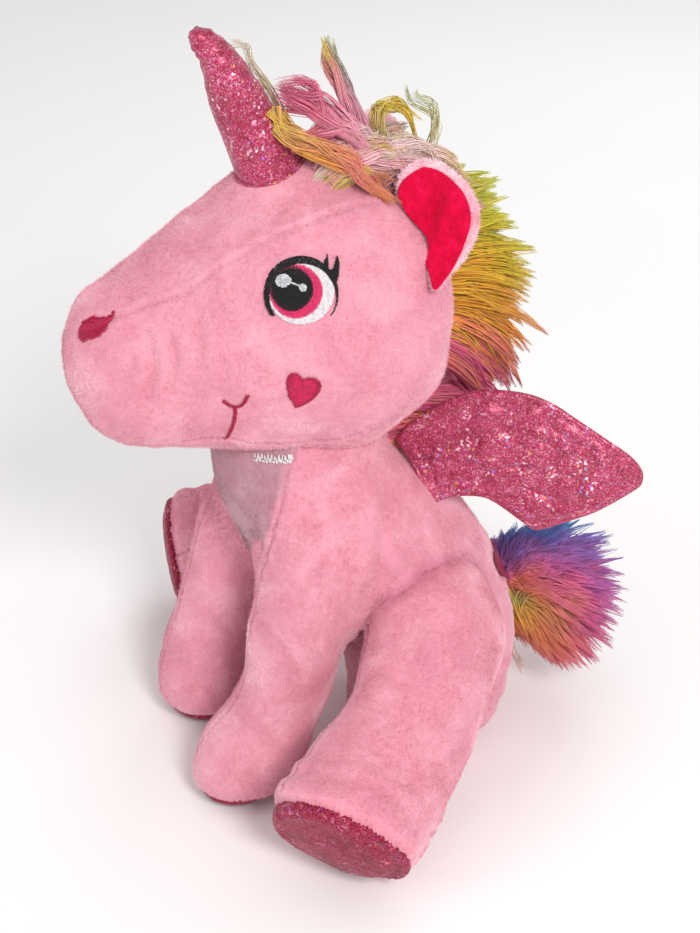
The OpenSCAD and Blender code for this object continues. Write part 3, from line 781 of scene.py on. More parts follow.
EYE = np.array((39, -54.5, 210.0))
CHEEK = np.array((46, -55.7, 178.5))
NOSE = np.array((12, -115.5, 194.0))
FAR_NOSE = NOSE + np.array((7.0, 5.0, -5.5))
MOUTH = np.array((39.5, -77, 171.0))
LOOKS = {
    "eye": (0.85, -0.2, 0.49), "cheek": (0.97, -0.22, -0.09), "nose": (0.42, -0.45, 0.78), "mouth": (0.93, -0.33, -0.15)}
NOSTRIL = np.array([
    (-7.5, -1.8), (-7, 1.4), (-4.6, 3), (-2.6, 3.8), (0.2, 3.9), (2, 4.3), (4.4, 7.2), (4.4, 3.4), (3.6, -0.6),
    (1.4, -2.6), (-1, -3.6), (-4.6, -4.7), (-6.6, -3.6)])
FAR_NOSTRIL = NOSTRIL * 0.86
CHEEK_HEART = spline([(-0.1, 3.4), (-1.3, 4.9), (-3.4, 5.7), (-5, 4.7), (-5.7, 1.9), (-5.1, -2.7), (-3.9, -5.6),
                      (-2.6, -8.1), (1.2, -6.4), (4.3, -3.3), (5.7, 0), (4.6, 3), (1.8, 4.1), (-0.1, 3.4)],
                     np.linspace(0, 1, 60))
SMILE = spline([(-4.4, 2.9), (-3.2, 1.6), (-1.4, 0.1), (1.2, 0.2), (2.9, 2.2), (3.9, 5.1)], np.linspace(0, 1, 26))
STEM = spline([(-0.4, -0.2), (-0.8, -4.8), (-1.9, -9.7), (-3.5, -14.2), (-5, -16.8)], np.linspace(0, 1, 22))


def bearing(look):
    """The drawing's own x and y on a surface seen along look, x level and y up."""
    z = unit(look)
    x = unit(np.cross((0, 0, 1), z))
    return x, np.cross(z, x), z


def inside(poly, x, y):
    """Which points lie within a closed outline."""
    hit = np.zeros(len(x), bool)
    q = np.asarray(poly)
    j = len(q) - 1
    for i in range(len(q)):
        cross_ = (q[i, 1] > y) != (q[j, 1] > y)
        with np.errstate(divide="ignore", invalid="ignore"):
            xx = (q[j, 0] - q[i, 0]) * (y - q[i, 1]) / (q[j, 1] - q[i, 1]) + q[i, 0]
        hit ^= cross_ & (x < xx)
        j = i
    return hit


def stroke(line, width):
    """The outline of a drawn stroke."""
    line = np.asarray(line, float)
    t_ = unit(np.gradient(line, axis=0))
    side_ = np.stack([-t_[:, 1], t_[:, 0]], 1) * width / 2
    return np.vstack([line + side_, (line - side_)[::-1]])


def grown(poly, k):
    """An outline scaled about its middle."""
    c = poly.mean(0)
    return c + (poly - c) * k


def covered(p, at, look, polys):
    """Which points lie under a drawing that is laid on a skin."""
    x, y, z = bearing(look)
    q = p - at
    near_ = np.abs(q @ z) < 16
    a, b = q @ x, q @ y
    hit = np.zeros(len(p), bool)
    for poly in polys:
        hit |= inside(poly, a, b)
    return hit & near_


def head_bare(p):
    """Where the head may carry pile: everywhere but under its embroidery."""
    q = p * np.array([[0, 1, 1]]) + np.abs(p) * np.array([[1, 0, 0]])
    ok = np.linalg.norm(q - EYE - 0.6, axis=1) > 12.4
    ok &= ~covered(q, CHEEK, LOOKS["cheek"], [grown(CHEEK_HEART, 1.12)])
    near = p[:, 0] > 0
    ok &= ~(near & covered(q, NOSE, LOOKS["nose"], [grown(NOSTRIL, 1.08)]))
    ok &= ~(~near & covered(q, FAR_NOSE, LOOKS["nose"], [grown(FAR_NOSTRIL, 1.08)]))
    ok &= ~covered(q, MOUTH, LOOKS["mouth"], [stroke(SMILE, 2.4), stroke(STEM, 2.2)])
    return ok


TACK = np.array((27.4, -62, 142.4))


def torso_bare(p):
    """Where the torso may carry pile: everywhere but under the throat's tack."""
    x, y, z = bearing((0.83, -0.56, 0))
    q = p - TACK
    return (np.abs(q @ x) > 7.8) | (np.abs(q @ y) > 2.0) | (q @ z < -12)


NAP_LENGTH = 1.3
FIBRES = {"head": 120000, "torso": 100000, "front": 50000, "hind": 70000}
share = 1.0
head_pile = pile("head_pile", head_v2, head_f, int(FIBRES["head"] * share), NAP_LENGTH, 41, PINK_FIBRE, (0, 0.55, -0.75),
                 lambda p: head_bare(p) & outside((torso_skin, -1.5))(p), tone=head_tone)
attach(head_pile, "head")
torso_pile = pile("torso_pile", torso_v2, torso_f, int(FIBRES["torso"] * share), NAP_LENGTH, 42, PINK_FIBRE, (0, 0.1, -0.95),
                  lambda p: torso_bare(p) & outside((head_skin, -1.5), *[(s, -1.5) for s in leg_skins.values()])(p),
                  tone=torso_tone)
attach(torso_pile, "torso")
for i, k in enumerate(legs):
    cover, f, past, _ = leg_v[k]
    inner = outside((torso_skin, -1.5))
    toe, run = (NEAR_TOE, NEAR_RUN) if "left" in k else (FAR_TOE, FAR_RUN)
    if "front" in k:
        keep = lambda p, inner=inner: (p[:, 2] > 7.4) & inner(p)
    else:
        keep = lambda p, inner=inner, toe=toe, run=run: ((p - toe) @ run < -0.3) & (p[:, 2] > 1.6) & inner(p)
    count = int(FIBRES[k[:k.index("_")]] * share)
    ob = pile(k + "_leg_pile", cover, f, count, NAP_LENGTH, 50 + i, PINK_FIBRE, (0.2, -0.45, -0.8), keep,
              tone=leg_tone[k])
    bend(ob)

for k, ob in leg_obs.items():
    bend(ob)
    past, raw, f = leg_v[k][2], leg_v[k][3], leg_v[k][1]
    n = normals(raw, f)
    wrinkled = push(raw, n, 0.1 * waves(raw, 1.6, 61))
    if "front" in k:
        wrinkled[:, 2] = np.maximum(wrinkled[:, 2], 0.55)
    else:
        wrinkled = flat_floor(wrinkled, 0.55)
    sv, sf = shell(wrinkled, f, (past[f] > 0.2).all(1), 0.55 if "hind" in k else 0.45, 0.8)
    sole = add(k + "_sole_cloth", sv, sf, SOLE)
    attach(sole, k + "_leg")
    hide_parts(k + "_sole")
    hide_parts(k + "_leg_outer", k + "_leg_inner")
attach(torso, "torso")
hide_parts("body_left_panel", "body_right_panel", "belly_panel", "seat_panel")
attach(head, "head")
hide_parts("head_left_panel", "head_right_panel", "forehead_panel", "chin_panel")


# ---------------------------------------------------------------- fill inside

def fill(name, stations, side, body, node_name, more, level=None, seed=70):
    v, f = resurface([loft(stations, side, 48, 6, level, more)], 4.0, 3)
    n = normals(v, f)
    v = push(v, n, 0.6 * waves(v, 7, seed) - 0.3)
    ob = add(name, v, f, FLUFF)
    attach(ob, body)
    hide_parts(node_name)
    return ob


fill("body_fill", TORSO, (1, 0, 0), "torso", "body_stuffing", -4.5, (0, 0, 1))
fill("head_fill", HEAD[1:-1], (1, 0, 0), "head", "head_stuffing", -4.5)
fill("front_left_fill", FRONT[2:-2], (1, 0, 0), "front_left_leg", "front_left_leg_stuffing", -4)
fill("front_right_fill", FAR_FRONT[2:-2], (1, 0, 0), "front_right_leg", "front_right_leg_stuffing", -4)
fill("hind_left_fill", NEAR[2:-1], (0.7, 0.7, 0), "hind_left_leg", "hind_left_leg_stuffing", -4)
fill("hind_right_fill", FAR[2:-1], (0.7, -0.7, 0), "hind_right_leg", "hind_right_leg_stuffing", -4)
fill("neck_fill", [(0, -43, 122.5, 3, 3), (0, -43, 126, 13, 13), (0, -43, 134, 21.5, 21.5), (0, -43, 148, 25.5, 25.5),
                   (0, -43, 162, 21.5, 21.5), (0, -43, 170, 13, 13), (0, -43, 173.5, 3, 3)],
     (1, 0, 0), "neck", "neck_stuffing", 0)

# ---------------------------------------------------------------- horn

v, f = resurface([loft(HORN, (1, 0, 0), 64, 12)], 0.8, 5)
n = normals(v, f)
axis = spline(HORN, np.linspace(0, 1, 80))[:, :3]
d, along = near_line(v, axis.tolist())
high = along * 72
v = push(v, n, 0.20 * np.sin(high * 2 * math.pi / 6.4 + 2.4 * waves(v, 11, 81)) * ramp(along, 0.3, 0.7))
v = push(v, n, 0.35 * waves(v, 9, 82) + 0.05 * waves(v, 2.6, 83))
seam = np.where(v[:, 1] > -60 - (v[:, 2] - 250) * 0.42, np.abs(v[:, 0]), 99)
v = groove(v, n, seam, high, 0.55, 0.7, 0.2, 2.0)
horn = add("horn_cloth", v, f, GLITTER)
horn_tree = tree(v, f)
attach(horn, "horn")
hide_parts("horn_cover")
fill("horn_fill", HORN[:-1], (1, 0, 0), "horn", "horn_stuffing", -1.8, None, 84)

# ---------------------------------------------------------------- embroidery

def onto(skin_, at, look, xy, lift):
    """Points of a flat drawing laid on a skin that is seen along look, and the skin's normals there."""
    x, y, z = bearing(look)
    base = np.array(at, float) + xy[:, :1] * x + xy[:, 1:2] * y
    out = []
    for p in base.tolist():
        start = Vector(p) + Vector(z) * 25
        c, nn, _, _ = skin_.ray_cast(start, Vector(-z), 60)
        if c is None:
            c, nn, _, _ = skin_.find_nearest(p)
        out.append((*c, *nn))
    out = np.array(out)
    return out[:, :3] + out[:, 3:] * lift, out[:, 3:]


def stitched(name, skin_, at, look, shapes, holes, angle, material, lift, body, slot, node_names=(), pitch=0.42,
             long=4.2, mirrored=False, tall=0.34):
    """Rows of thread laid over a drawing: every stitch is a raised, rounded strip."""
    c, s = math.cos(angle), math.sin(angle)
    every = np.vstack([np.asarray(p, float) for p in shapes])
    rot = np.array([[c, s], [-s, c]])
    lo, hi = (every @ rot.T).min(0), (every @ rot.T).max(0)
    verts, faces = [], []
    r = np.random.default_rng(91)
    rows = np.arange(lo[1] + pitch / 2, hi[1], pitch)
    strips = []
    for row in rows:
        xs = np.arange(lo[0] - 0.2, hi[0] + 0.2, 0.22)
        p = np.stack([xs, np.full(len(xs), row)], 1) @ rot
        ok = np.zeros(len(xs), bool)
        for poly in shapes:
            ok |= inside(poly, p[:, 0], p[:, 1])
        for poly in holes:
            ok &= ~inside(poly, p[:, 0], p[:, 1])
        i = 0
        while i < len(xs):
            if not ok[i]:
                i += 1
                continue
            j = i
            while j + 1 < len(xs) and ok[j + 1]:
                j += 1
            a = xs[i]
            first = True
            while a < xs[j]:
                b = min(a + (r.uniform(0.45, 1) if first else 1) * long, xs[j])
                if xs[j] - b < 0.8:
                    b = xs[j]
                if b - a > 0.3:
                    strips.append((a, b, row))
                a = b
                first = False
            i = j + 1
    for a, b, row in strips:
        k = max(3, int((b - a) / 0.8) + 2)
        t = np.linspace(0, 1, k)
        arch = 0.55 + 0.45 * np.sin(np.pi * np.clip(t, 0.03, 0.97)) ** 0.5
        mid = np.stack([a - 0.1 + (b - a + 0.2) * t, np.full(k, row + r.normal() * 0.02)], 1)
        for off, up in ((-0.52, -0.12), (-0.3, 0.72), (0.0, 1.0), (0.3, 0.72), (0.52, -0.12)):
            q = mid + np.array([0, off * pitch])
            verts.append(np.hstack([q @ rot, (lift + tall * up * arch)[:, None]]))
        base = sum(len(x) for x in verts[:-5])
        for w in range(4):
            for i in range(k - 1):
                p0 = base + w * k + i
                faces.append((p0, p0 + 1, p0 + k + 1, p0 + k))
    pts = np.vstack(verts)
    xy = pts[:, :2].copy()
    m = np.array(at, float)
    l = np.array(look, float)
    if mirrored:
        m[0], l[0] = -m[0], -l[0]
        xy[:, 0] = -xy[:, 0]
        faces = [tuple(reversed(q)) for q in faces]
    p, nn = onto(skin_, m, l, xy, 0.0)
    p = p + nn * pts[:, 2:3]
    ob = add(name, p, faces, material)
    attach(ob, body)
    if node_names:
        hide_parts(*node_names)
    return ob


def disc(x, y, r, n=40, squash=1.0):
    a = np.arange(n) * 2 * math.pi / n
    return np.stack([x + r * np.cos(a), y + r * squash * np.sin(a)], 1)


def heart(r):
    a = np.linspace(0, 2 * math.pi, 60, endpoint=False)
    x = np.sin(a) ** 3
    y = (13 * np.cos(a) - 5 * np.cos(2 * a) - 2 * np.cos(3 * a) - np.cos(4 * a)) / 16 + 0.12
    return np.stack([x, y], 1) * r


LOOK = LOOKS["eye"]
white_ring = disc(0.4, -0.1, 10.7)
iris_ring = disc(-1.1, -0.3, 8.5)
pupil_rings = [disc(-2.4, 0.4, 6.8), disc(-3.3, 1.5, 6.6)]
turns = np.radians(np.linspace(-36, 212, 60))
brow_line = np.vstack([
    np.stack([0.5 + 11.9 * np.cos(turns), -1 + 11.9 * np.sin(turns)], 1),
    np.stack([1.0 + 10.5 * np.cos(turns), -2.2 + 10.5 * np.sin(turns)], 1)[::-1]])
lash_a = np.array([(5.8, 8.6), (7.8, 8.0), (9.3, 11.2), (9.6, 8.6), (9.5, 6.2), (7.8, 5.6)])
lash_b = np.array([(9.0, 6.4), (10.9, 6.3), (12.4, 10.9), (13.1, 8.2), (12.9, 4.8), (12.0, 2.2), (10.3, 3.4)])
for left in (True, False):
    tag = "left" if left else "right"
    flip = not left
    common = dict(body="head", mirrored=flip)
    nodes_ = "eye_" + tag + "_"
    stitched(nodes_ + "white_stitches", head_skin, EYE, LOOK, [white_ring], [disc(-1.1, -0.3, 8.0)], 0.5, WHITE,
             0.45, slot="white_thread", node_names=(nodes_ + "white",), **common)
    stitched(nodes_ + "iris_stitches", head_skin, EYE, LOOK, [iris_ring], [disc(-2.4, 0.4, 6.4)], 1.2, IRIS, 0.6,
             slot="magenta_thread", node_names=(nodes_ + "iris",), **common)
    stitched(nodes_ + "pupil_stitches", head_skin, EYE, LOOK, pupil_rings, [], 0.25, BLACK, 0.7,
             slot="black_thread", node_names=(nodes_ + "pupil",), **common)
    stitched(nodes_ + "glint_stitches", head_skin, EYE, LOOK,
             [disc(-5.1, 3.3, 2.45, 30, 0.86), disc(0.9, 0.8, 1.2), stroke([(-3.2, 2.6), (-1.2, 1.9), (0.4, 1.2)], 0.6)],
             [], 0.1, GLINT, 0.95, slot="white_thread", node_names=(nodes_ + "glints",), **common)
    stitched(nodes_ + "outline_stitches", head_skin, EYE, LOOK, [brow_line, lash_a, lash_b], [], 0.9, BLACK, 0.75,
             slot="black_thread", node_names=(nodes_ + "outline",), **common)
    side = "_left" if left else "_right"
    stitched("cheek_heart" + side, head_skin, CHEEK, LOOKS["cheek"], [grown(CHEEK_HEART, 0.86)], [], 0.35, MAGENTA, 0.4,
             slot="magenta_thread", node_names=("cheek_hearts",), pitch=0.75, tall=0.5, **common)
    stitched("cheek_heart_edge" + side, head_skin, CHEEK, LOOKS["cheek"], [CHEEK_HEART], [grown(CHEEK_HEART, 0.80)],
             1.9, CRIMSON, 0.6, slot="magenta_thread", pitch=0.5, **common)
    stitched("nostril" + side, head_skin, NOSE if left else FAR_NOSE, LOOKS["nose"], [NOSTRIL if left else FAR_NOSTRIL],
             [], 0.5, CRIMSON, 0.5, slot="magenta_thread", node_names=("nostrils",), pitch=0.7, tall=0.5, **common)
    stitched("mouth_stitches" + side, head_skin, MOUTH, LOOKS["mouth"], [stroke(SMILE, 1.25), stroke(STEM, 1.15)],
             [], 1.6, CRIMSON, 0.45, slot="magenta_thread", node_names=("mouth_stitch",), **common)
    stitched("rump_heart" + side, torso_skin, (14, 31, 72), (0.33, 0.93, 0.15), [heart(9.0)], [], 0.4, RUMP, 0.9,
             body="torso", slot="magenta_thread", node_names=("rump_hearts",), mirrored=flip)

tilt = np.array([[math.cos(0.1), math.sin(0.1)], [-math.sin(0.1), math.cos(0.1)]])
tack = []
for i in np.arange(-6.8, 6.9, 1.25):
    tack.append(np.array([(i - 0.35, -1.5), (i + 0.15, -1.5), (i + 0.75, 1.5), (i + 0.25, 1.5)]) @ tilt)
    tack.append(np.array([(i + 0.25, 1.5), (i + 0.75, 1.5), (i + 1.15, -1.5), (i + 0.65, -1.5)]) @ tilt)
stitched("throat_tack", torso_skin, TACK, (0.83, -0.56, 0), tack, [], 0.0, WHITE, 0.8, "torso",
         "white_thread", ("throat_stitch",), pitch=0.4, long=1.4)

# ---------------------------------------------------------------- ears

EAR_OUT = np.array([
    (-3.5, 21.9), (-8.3, 19), (-11, 15), (-11.1, 10.7), (-8.1, 5.4), (-3.8, 1), (-1.3, -2.1), (-0.4, -5.3), (-1, -9.3),
    (0.8, -13.5), (3.3, -18.5), (7.1, -13.7), (10.4, -8.6), (12.9, -2.5), (14.2, 3.1), (13.6, 8.6), (10.8, 14.2),
    (6.2, 18.5), (1.5, 21.2)])


def cleaned(ob, near=0.00002, cuts=0):
    """Welds a mesh's doubled points, subdivides it if asked, and faces it outwards."""
    bm = bmesh.new()
    bm.from_mesh(ob.data)
    bmesh.ops.remove_doubles(bm, verts=bm.verts, dist=near)
    if cuts:
        bmesh.ops.subdivide_edges(bm, edges=bm.edges, cuts=cuts, use_grid_fill=True, smooth=0.6)
    bmesh.ops.recalc_face_normals(bm, faces=bm.faces)
    bm.to_mesh(ob.data)
    bm.free()
    ob.data.polygons.foreach_set("use_smooth", [True] * len(ob.data.polygons))


def ear_frame(side):
    """Turns an ear's own flat drawing into its place on the head."""
    a, b = math.radians(62), math.radians(68)
    m = np.array([[math.cos(a), -math.sin(a) * math.cos(b), math.sin(a) * math.sin(b)],
                  [math.sin(a), math.cos(a) * math.cos(b), -math.cos(a) * math.sin(b)],
                  [0, math.sin(b), math.cos(b)]])

    def to(p):
        q = p @ m.T + np.array((31.5, -6.8, 220.8))
        return q * np.array((side, 1, 1))
    return to


def flap(outline, rings, depth_fn, thick, shrink):
    """A thin dished flap: a top and an under face that meet at a rounded rim."""
    t = np.linspace(0, 1, 73)[:-1]
    loop = spline(np.vstack([outline, outline[:1]]), t)
    mid = np.array((2.0, 4.0))
    across = np.interp(loop[:, 1], [-18, -8, 2, 20], [3.2, 4.2, 4.5, 1.0])
    spine = np.stack([across, np.clip(loop[:, 1] * 0.72, -13, 14)], 1)
    v = []
    for face_ in (1, -1):
        for s in np.linspace(0, 1, rings):
            e = spine + (loop * shrink + mid * (1 - shrink) - spine) * s
            z = depth_fn(e[:, 0], e[:, 1])
            half = thick / 2 * np.sqrt(np.maximum(1 - s**6, 0.0))
            v.append(np.column_stack([e, z + face_ * half]))
    n = len(t)
    return np.vstack(v), bands(rings, n, 0, True) + bands(rings, n, rings * n)


def dish(x, y):
    """The ear is cupped, with a deep fold down its middle."""
    r2 = (x - 1) ** 2 + (y - 3) ** 2
    fold_ = 3.2 * bell(x + 0.5 - 0.25 * (y - 4), 2.4) * bell(y - 6, 8)
    lip = 1.3 * bell(x - 4.2 - 0.25 * (y - 4), 2.6) * bell(y - 5, 8)
    return r2 / 62 - fold_ + lip


def ear_edge(grow):
    """The ear's outline let out or taken in, but not at the pointed foot."""
    t_ = unit(np.roll(EAR_OUT, -1, 0) - np.roll(EAR_OUT, 1, 0))
    away = np.stack([-t_[:, 1], t_[:, 0]], 1)
    centre_ = EAR_OUT.mean(0)
    away = away * np.sign(((EAR_OUT - centre_) * away).sum(1))[:, None]
    return EAR_OUT + away * (grow * ramp(EAR_OUT[:, 0] + 0.9 * EAR_OUT[:, 1], -3, 8))[:, None]


for side in (1, -1):
    tag = "left" if side > 0 else "right"
    to = ear_frame(side)
    # the ear back takes the paler copy of the pink plush, as painted light
    for part, outline_scale, z_off, thick, mat, mat_slot in (
            ("lining", -1.2, 0.3, 1.4, FLEECE, "hot_pink_fleece"), ("back", 1.1, -1.6, 2.6, EAR_BACK_LIT_PLUSH, "pink_plush")):
        pv, pf = flap(ear_edge(outline_scale), 14, lambda x, y: dish(x, y) + z_off, thick, 1.0)
        if side < 0:
            pf = [tuple(reversed(q)) for q in pf]
        pv = to(pv)
        me_ob = add("ear_" + tag + "_" + part + "_cloth", pv, pf, mat)
        cleaned(me_ob, 0.00005, 1)
        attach(me_ob, "ear_" + tag)
        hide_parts("ear_" + tag + "_" + part)
        gv, gf = coords(me_ob.data), [tuple(p.vertices) for p in me_ob.data.polygons]
        quads = np.array([q if len(q) == 4 else (*q, q[-1]) for q in gf])
        count = int((15000 if part == "back" else 12000) * share)
        if part == "lining":
            lining_tree = tree(gv, gf)
            bare = None
        else:
            bare = outside((lining_tree, 0.9))
        fur = pile("ear_" + tag + "_" + part + "_pile", gv, quads, count, 1.7 if part == "back" else 0.7, 101,
                   EAR_BACK_LIT_FIBRE if part == "back" else FLEECE, (0, 0.1, 0.3), bare, 0.24, 0.7)
        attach(fur, "ear_" + tag)

# ---------------------------------------------------------------- wings

WING = np.array([
    (-6.2, 11.2), (-0.5, 18.8), (9.3, 27.4), (20.5, 33.6), (30.2, 35.3), (41.4, 34.8), (50.4, 31.7), (57.9, 27.2),
    (69.5, 20.1), (77.9, 14.7), (82.3, 9.8), (83.1, 5.2), (80.6, 1.1), (68.4, -9.1), (59.7, -14.1), (49.3, -19.5),
    (45.2, -20.3), (39.1, -16), (30.5, -10.4), (24.5, -8.9), (15.3, -10.1), (7.8, -11.9), (3.3, -4.4), (-1.9, 4.5)])
SHARP = (0, 16, 21)   # corners of the outline
TOP_STITCH = 2.1      # how far in the edge is stitched
PAD_RINGS = 10


def wing_place(side):
    """Turns a wing's own flat drawing into its place, pushed clear of the body at its root."""
    a = math.radians(58)
    along_, up_ = np.array((math.cos(a), math.sin(a), 0)), np.array((0, 0, 1.0))
    out_ = np.cross(along_, up_)

    def to(p):
        base = np.array((14.5, -5, 122.0)) + p[:, :1] * along_ + p[:, 1:2] * up_
        near_body = np.nonzero((p[:, 0] < 32) & (p[:, 0] > -3))[0]
        push = np.zeros(len(p))
        if len(near_body):
            d_, _ = signed(torso_tree, base[near_body])
            push[near_body] = np.log1p(np.exp((3.4 - d_) / 1.2)) * 1.2 * ramp(p[near_body, 0], -3, 4)
        q = base + (p[:, 2:3] + push[:, None]) * out_
        return q * np.array((side, 1, 1))
    return to


def wing_outline(inset=0.0, per=7):
    pts = []
    k = len(WING)
    for i in range(k):
        a, b, c, d = WING[i - 1], WING[i], WING[(i + 1) % k], WING[(i + 2) % k]
        if i in SHARP:
            a = b - (c - b) * 0.3
        if (i + 1) % k in SHARP:
            d = c + (c - b) * 0.3
        for j in range(per):
            pts.append(arc(a, b, c, d, j / per))
    pts = np.array(pts)
    if inset:
        tangent = unit(np.roll(pts, -1, 0) - np.roll(pts, 1, 0))
        pts = pts + np.stack([tangent[:, 1], -tangent[:, 0]], 1) * inset
    return pts


def wing_skin(face_, seed):
    """One face of a wing as a grid of points over the outline, quilted up by the padding."""
    loop = wing_outline()
    n_ = len(loop)
    out = np.clip(loop[:, 0] * 0.86 + 4, 6, 72)
    spine = np.stack([out, np.interp(out, [6, 20, 45, 72], [8, 12, 7, 6])], 1)
    rings = 34
    v = []
    for s in np.linspace(0, 1, rings):
        e = spine + (loop - spine) * s
        v.append(np.column_stack([e, np.zeros(len(e))]))
    v = np.vstack(v)
    inset = np.array([np.min(np.linalg.norm(loop - p, axis=1)) for p in v[:, :2]])
    puff = 3.6 * (1 - np.exp(-inset / 5.0))
    tilt = np.column_stack([v[:, 0], v[:, 1], np.zeros(len(v))])
    dent = 1.1 * waves(tilt, 9.5, seed) + 0.5 * waves(tilt, 4.6, seed + 1)
    crease = bell(waves(tilt, 9.0, seed + 2), 0.28) + 0.7 * bell(waves(tilt, 6.0, seed + 3), 0.22)
    pinch = bell(inset - 6.5, 2.2) * (0.5 + 0.5 * waves(tilt, 3.4, seed + 4))
    puff = puff + (dent - 1.6 * crease - 1.2 * pinch) * ramp(inset, 1.6, 5.0) * 0.85
    puff = puff - 0.45 * bell(inset - TOP_STITCH, 0.55)
    v[:, 2] = face_ * np.where(inset > 4, np.maximum(puff, 0.75) + 0.35, np.maximum(puff, 0.0) + 0.35)
    low = v.copy()
    low[:, 2] = face_ * np.maximum(np.abs(v[:, 2]) - 0.6, 0.02)
    faces = bands(rings, n_, 0, face_ < 0) + bands(rings, n_, rings * n_, face_ > 0)
    last = (rings - 1) * n_
    for j in range(n_):
        k = (j + 1) % n_
        quad = (last + j, last + rings * n_ + j, last + rings * n_ + k, last + k)
        faces.append(quad)
    return np.vstack([v, low]), faces


def tube(points, radius, n_=6, closed=False):
    p = np.asarray(points, float)
    k = len(p)
    t = unit(np.roll(p, -1, 0) - np.roll(p, 1, 0)) if closed else unit(np.gradient(p, axis=0))
    ref = np.array((0.31, 0.42, 0.85))
    a = unit(np.cross(t, ref))
    b = np.cross(t, a)
    r_ = np.broadcast_to(np.asarray(radius, float), (k,))[:, None]
    ang = np.arange(n_) * 2 * math.pi / n_
    v = np.stack([p + (a * math.cos(q) + b * math.sin(q)) * r_ for q in ang], 1).reshape(-1, 3)
    faces = []
    for i in range(k if closed else k - 1):
        for j in range(n_):
            m_ = (i + 1) % k
            faces.append((i * n_ + j, i * n_ + (j + 1) % n_, m_ * n_ + (j + 1) % n_, m_ * n_ + j))
    if not closed:
        faces.append(tuple(reversed(range(n_))))
        faces.append(tuple(range((k - 1) * n_, k * n_)))
    return v, faces


def join_parts(parts):
    v, f, at = [], [], 0
    for a, b in parts:
        v.append(a)
        f += [tuple(i + at for i in q) for q in b]
        at += len(a)
    return np.vstack(v), f


for side in (1, -1):
    tag = "left" if side > 0 else "right"
    to = wing_place(side)
    for face_, part in ((1, "outer"), (-1, "inner")):
        wv, wf = wing_skin(face_, 121 + 7 * face_)
        if side < 0:
            wf = [tuple(reversed(q)) for q in wf]
        ob = add("wing_" + tag + "_" + part + "_cloth", to(wv), wf, GLITTER)
        cleaned(ob)
        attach(ob, "wing_" + tag)
        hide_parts("wing_" + tag + "_" + part)
    pad_loop = wing_outline(3.0)
    mid = np.array((36.0, 8.0))
    pv = []
    for z in (0.3, -0.3):
        for s in np.linspace(0.02, 1, PAD_RINGS):
            e = mid + (pad_loop - mid) * s * 0.985
            bulk = z * (1 - s**4) + 0.05 * z
            pv.append(np.column_stack([e, np.full(len(e), bulk)]))
    k = len(pad_loop)
    pf = bands(PAD_RINGS, k) + [(a, b, c, d) for a, d, c, b in bands(PAD_RINGS, k, PAD_RINGS * k)]
    top, low = (PAD_RINGS - 1) * k, (2 * PAD_RINGS - 1) * k
    for j in range(k):
        pf.append((top + j, top + (j + 1) % k, low + (j + 1) % k, low + j))
    pad = add("wing_" + tag + "_fill", to(np.vstack(pv)), pf, FLUFF)
    cleaned(pad)
    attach(pad, "wing_" + tag)
    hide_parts("wing_" + tag + "_padding")
    run_ = wing_outline(TOP_STITCH, 14)
    step = np.linalg.norm(np.roll(run_, -1, 0) - run_, axis=1)
    total = np.concatenate([[0], np.cumsum(step)])
    parts = []
    pitch = 2.3
    for face_ in (1, -1):
        for i in range(int(total[-1] / pitch)):
            s0, s1 = i * pitch, i * pitch + pitch * 0.72
            ss = np.linspace(s0, s1, 5)
            q = np.column_stack([np.interp(ss, total[:-1], run_[:, 0]), np.interp(ss, total[:-1], run_[:, 1])])
            z = face_ * (0.62 + 0.42 * np.sin(np.linspace(0, math.pi, 5)))
            tv, tf = tube(np.column_stack([q, z]), 0.2, 5)
            parts.append((tv, tf))
    tv, tf = join_parts(parts)
    ob = add("wing_" + tag + "_top_stitching", to(tv), tf, EDGE)
    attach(ob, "wing_" + tag)

# a welt of glitter cloth round the base of the horn, where it is sewn into the brow
ring_points = []
for a in np.linspace(0, 2 * math.pi, 60, endpoint=False):
    d_ = Vector((math.cos(a), math.sin(a) * 0.93, math.sin(a) * 0.36)).normalized()
    c = Vector((0, -51.2, 234.8))
    best = None
    for s in np.linspace(6, 20, 57):
        p = c + d_ * s
        q, nn, _, dist = horn_tree.find_nearest(p)
        if (p - q).dot(nn) > 0:
            best = p
            break
    best = best or c + d_ * 12
    for s in np.linspace(0, 14, 57):
        p = best + Vector((0, -0.39, 0.92)) * (s - 7)
        q, nn, _, dist = head_skin.find_nearest(p)
        if (p - q).dot(nn) > 0.2:
            best = p
            break
    ring_points.append(tuple(best))
ring_points = np.array(ring_points)
for _ in range(3):
    ring_points = (np.roll(ring_points, 1, 0) + 2 * ring_points + np.roll(ring_points, -1, 0)) / 4
tv, tf = tube(ring_points, 0.55, 8, True)
welt = add("horn_base_welt", tv, tf, GLITTER)
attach(welt, "horn")


# ---------------------------------------------------------------- long pile

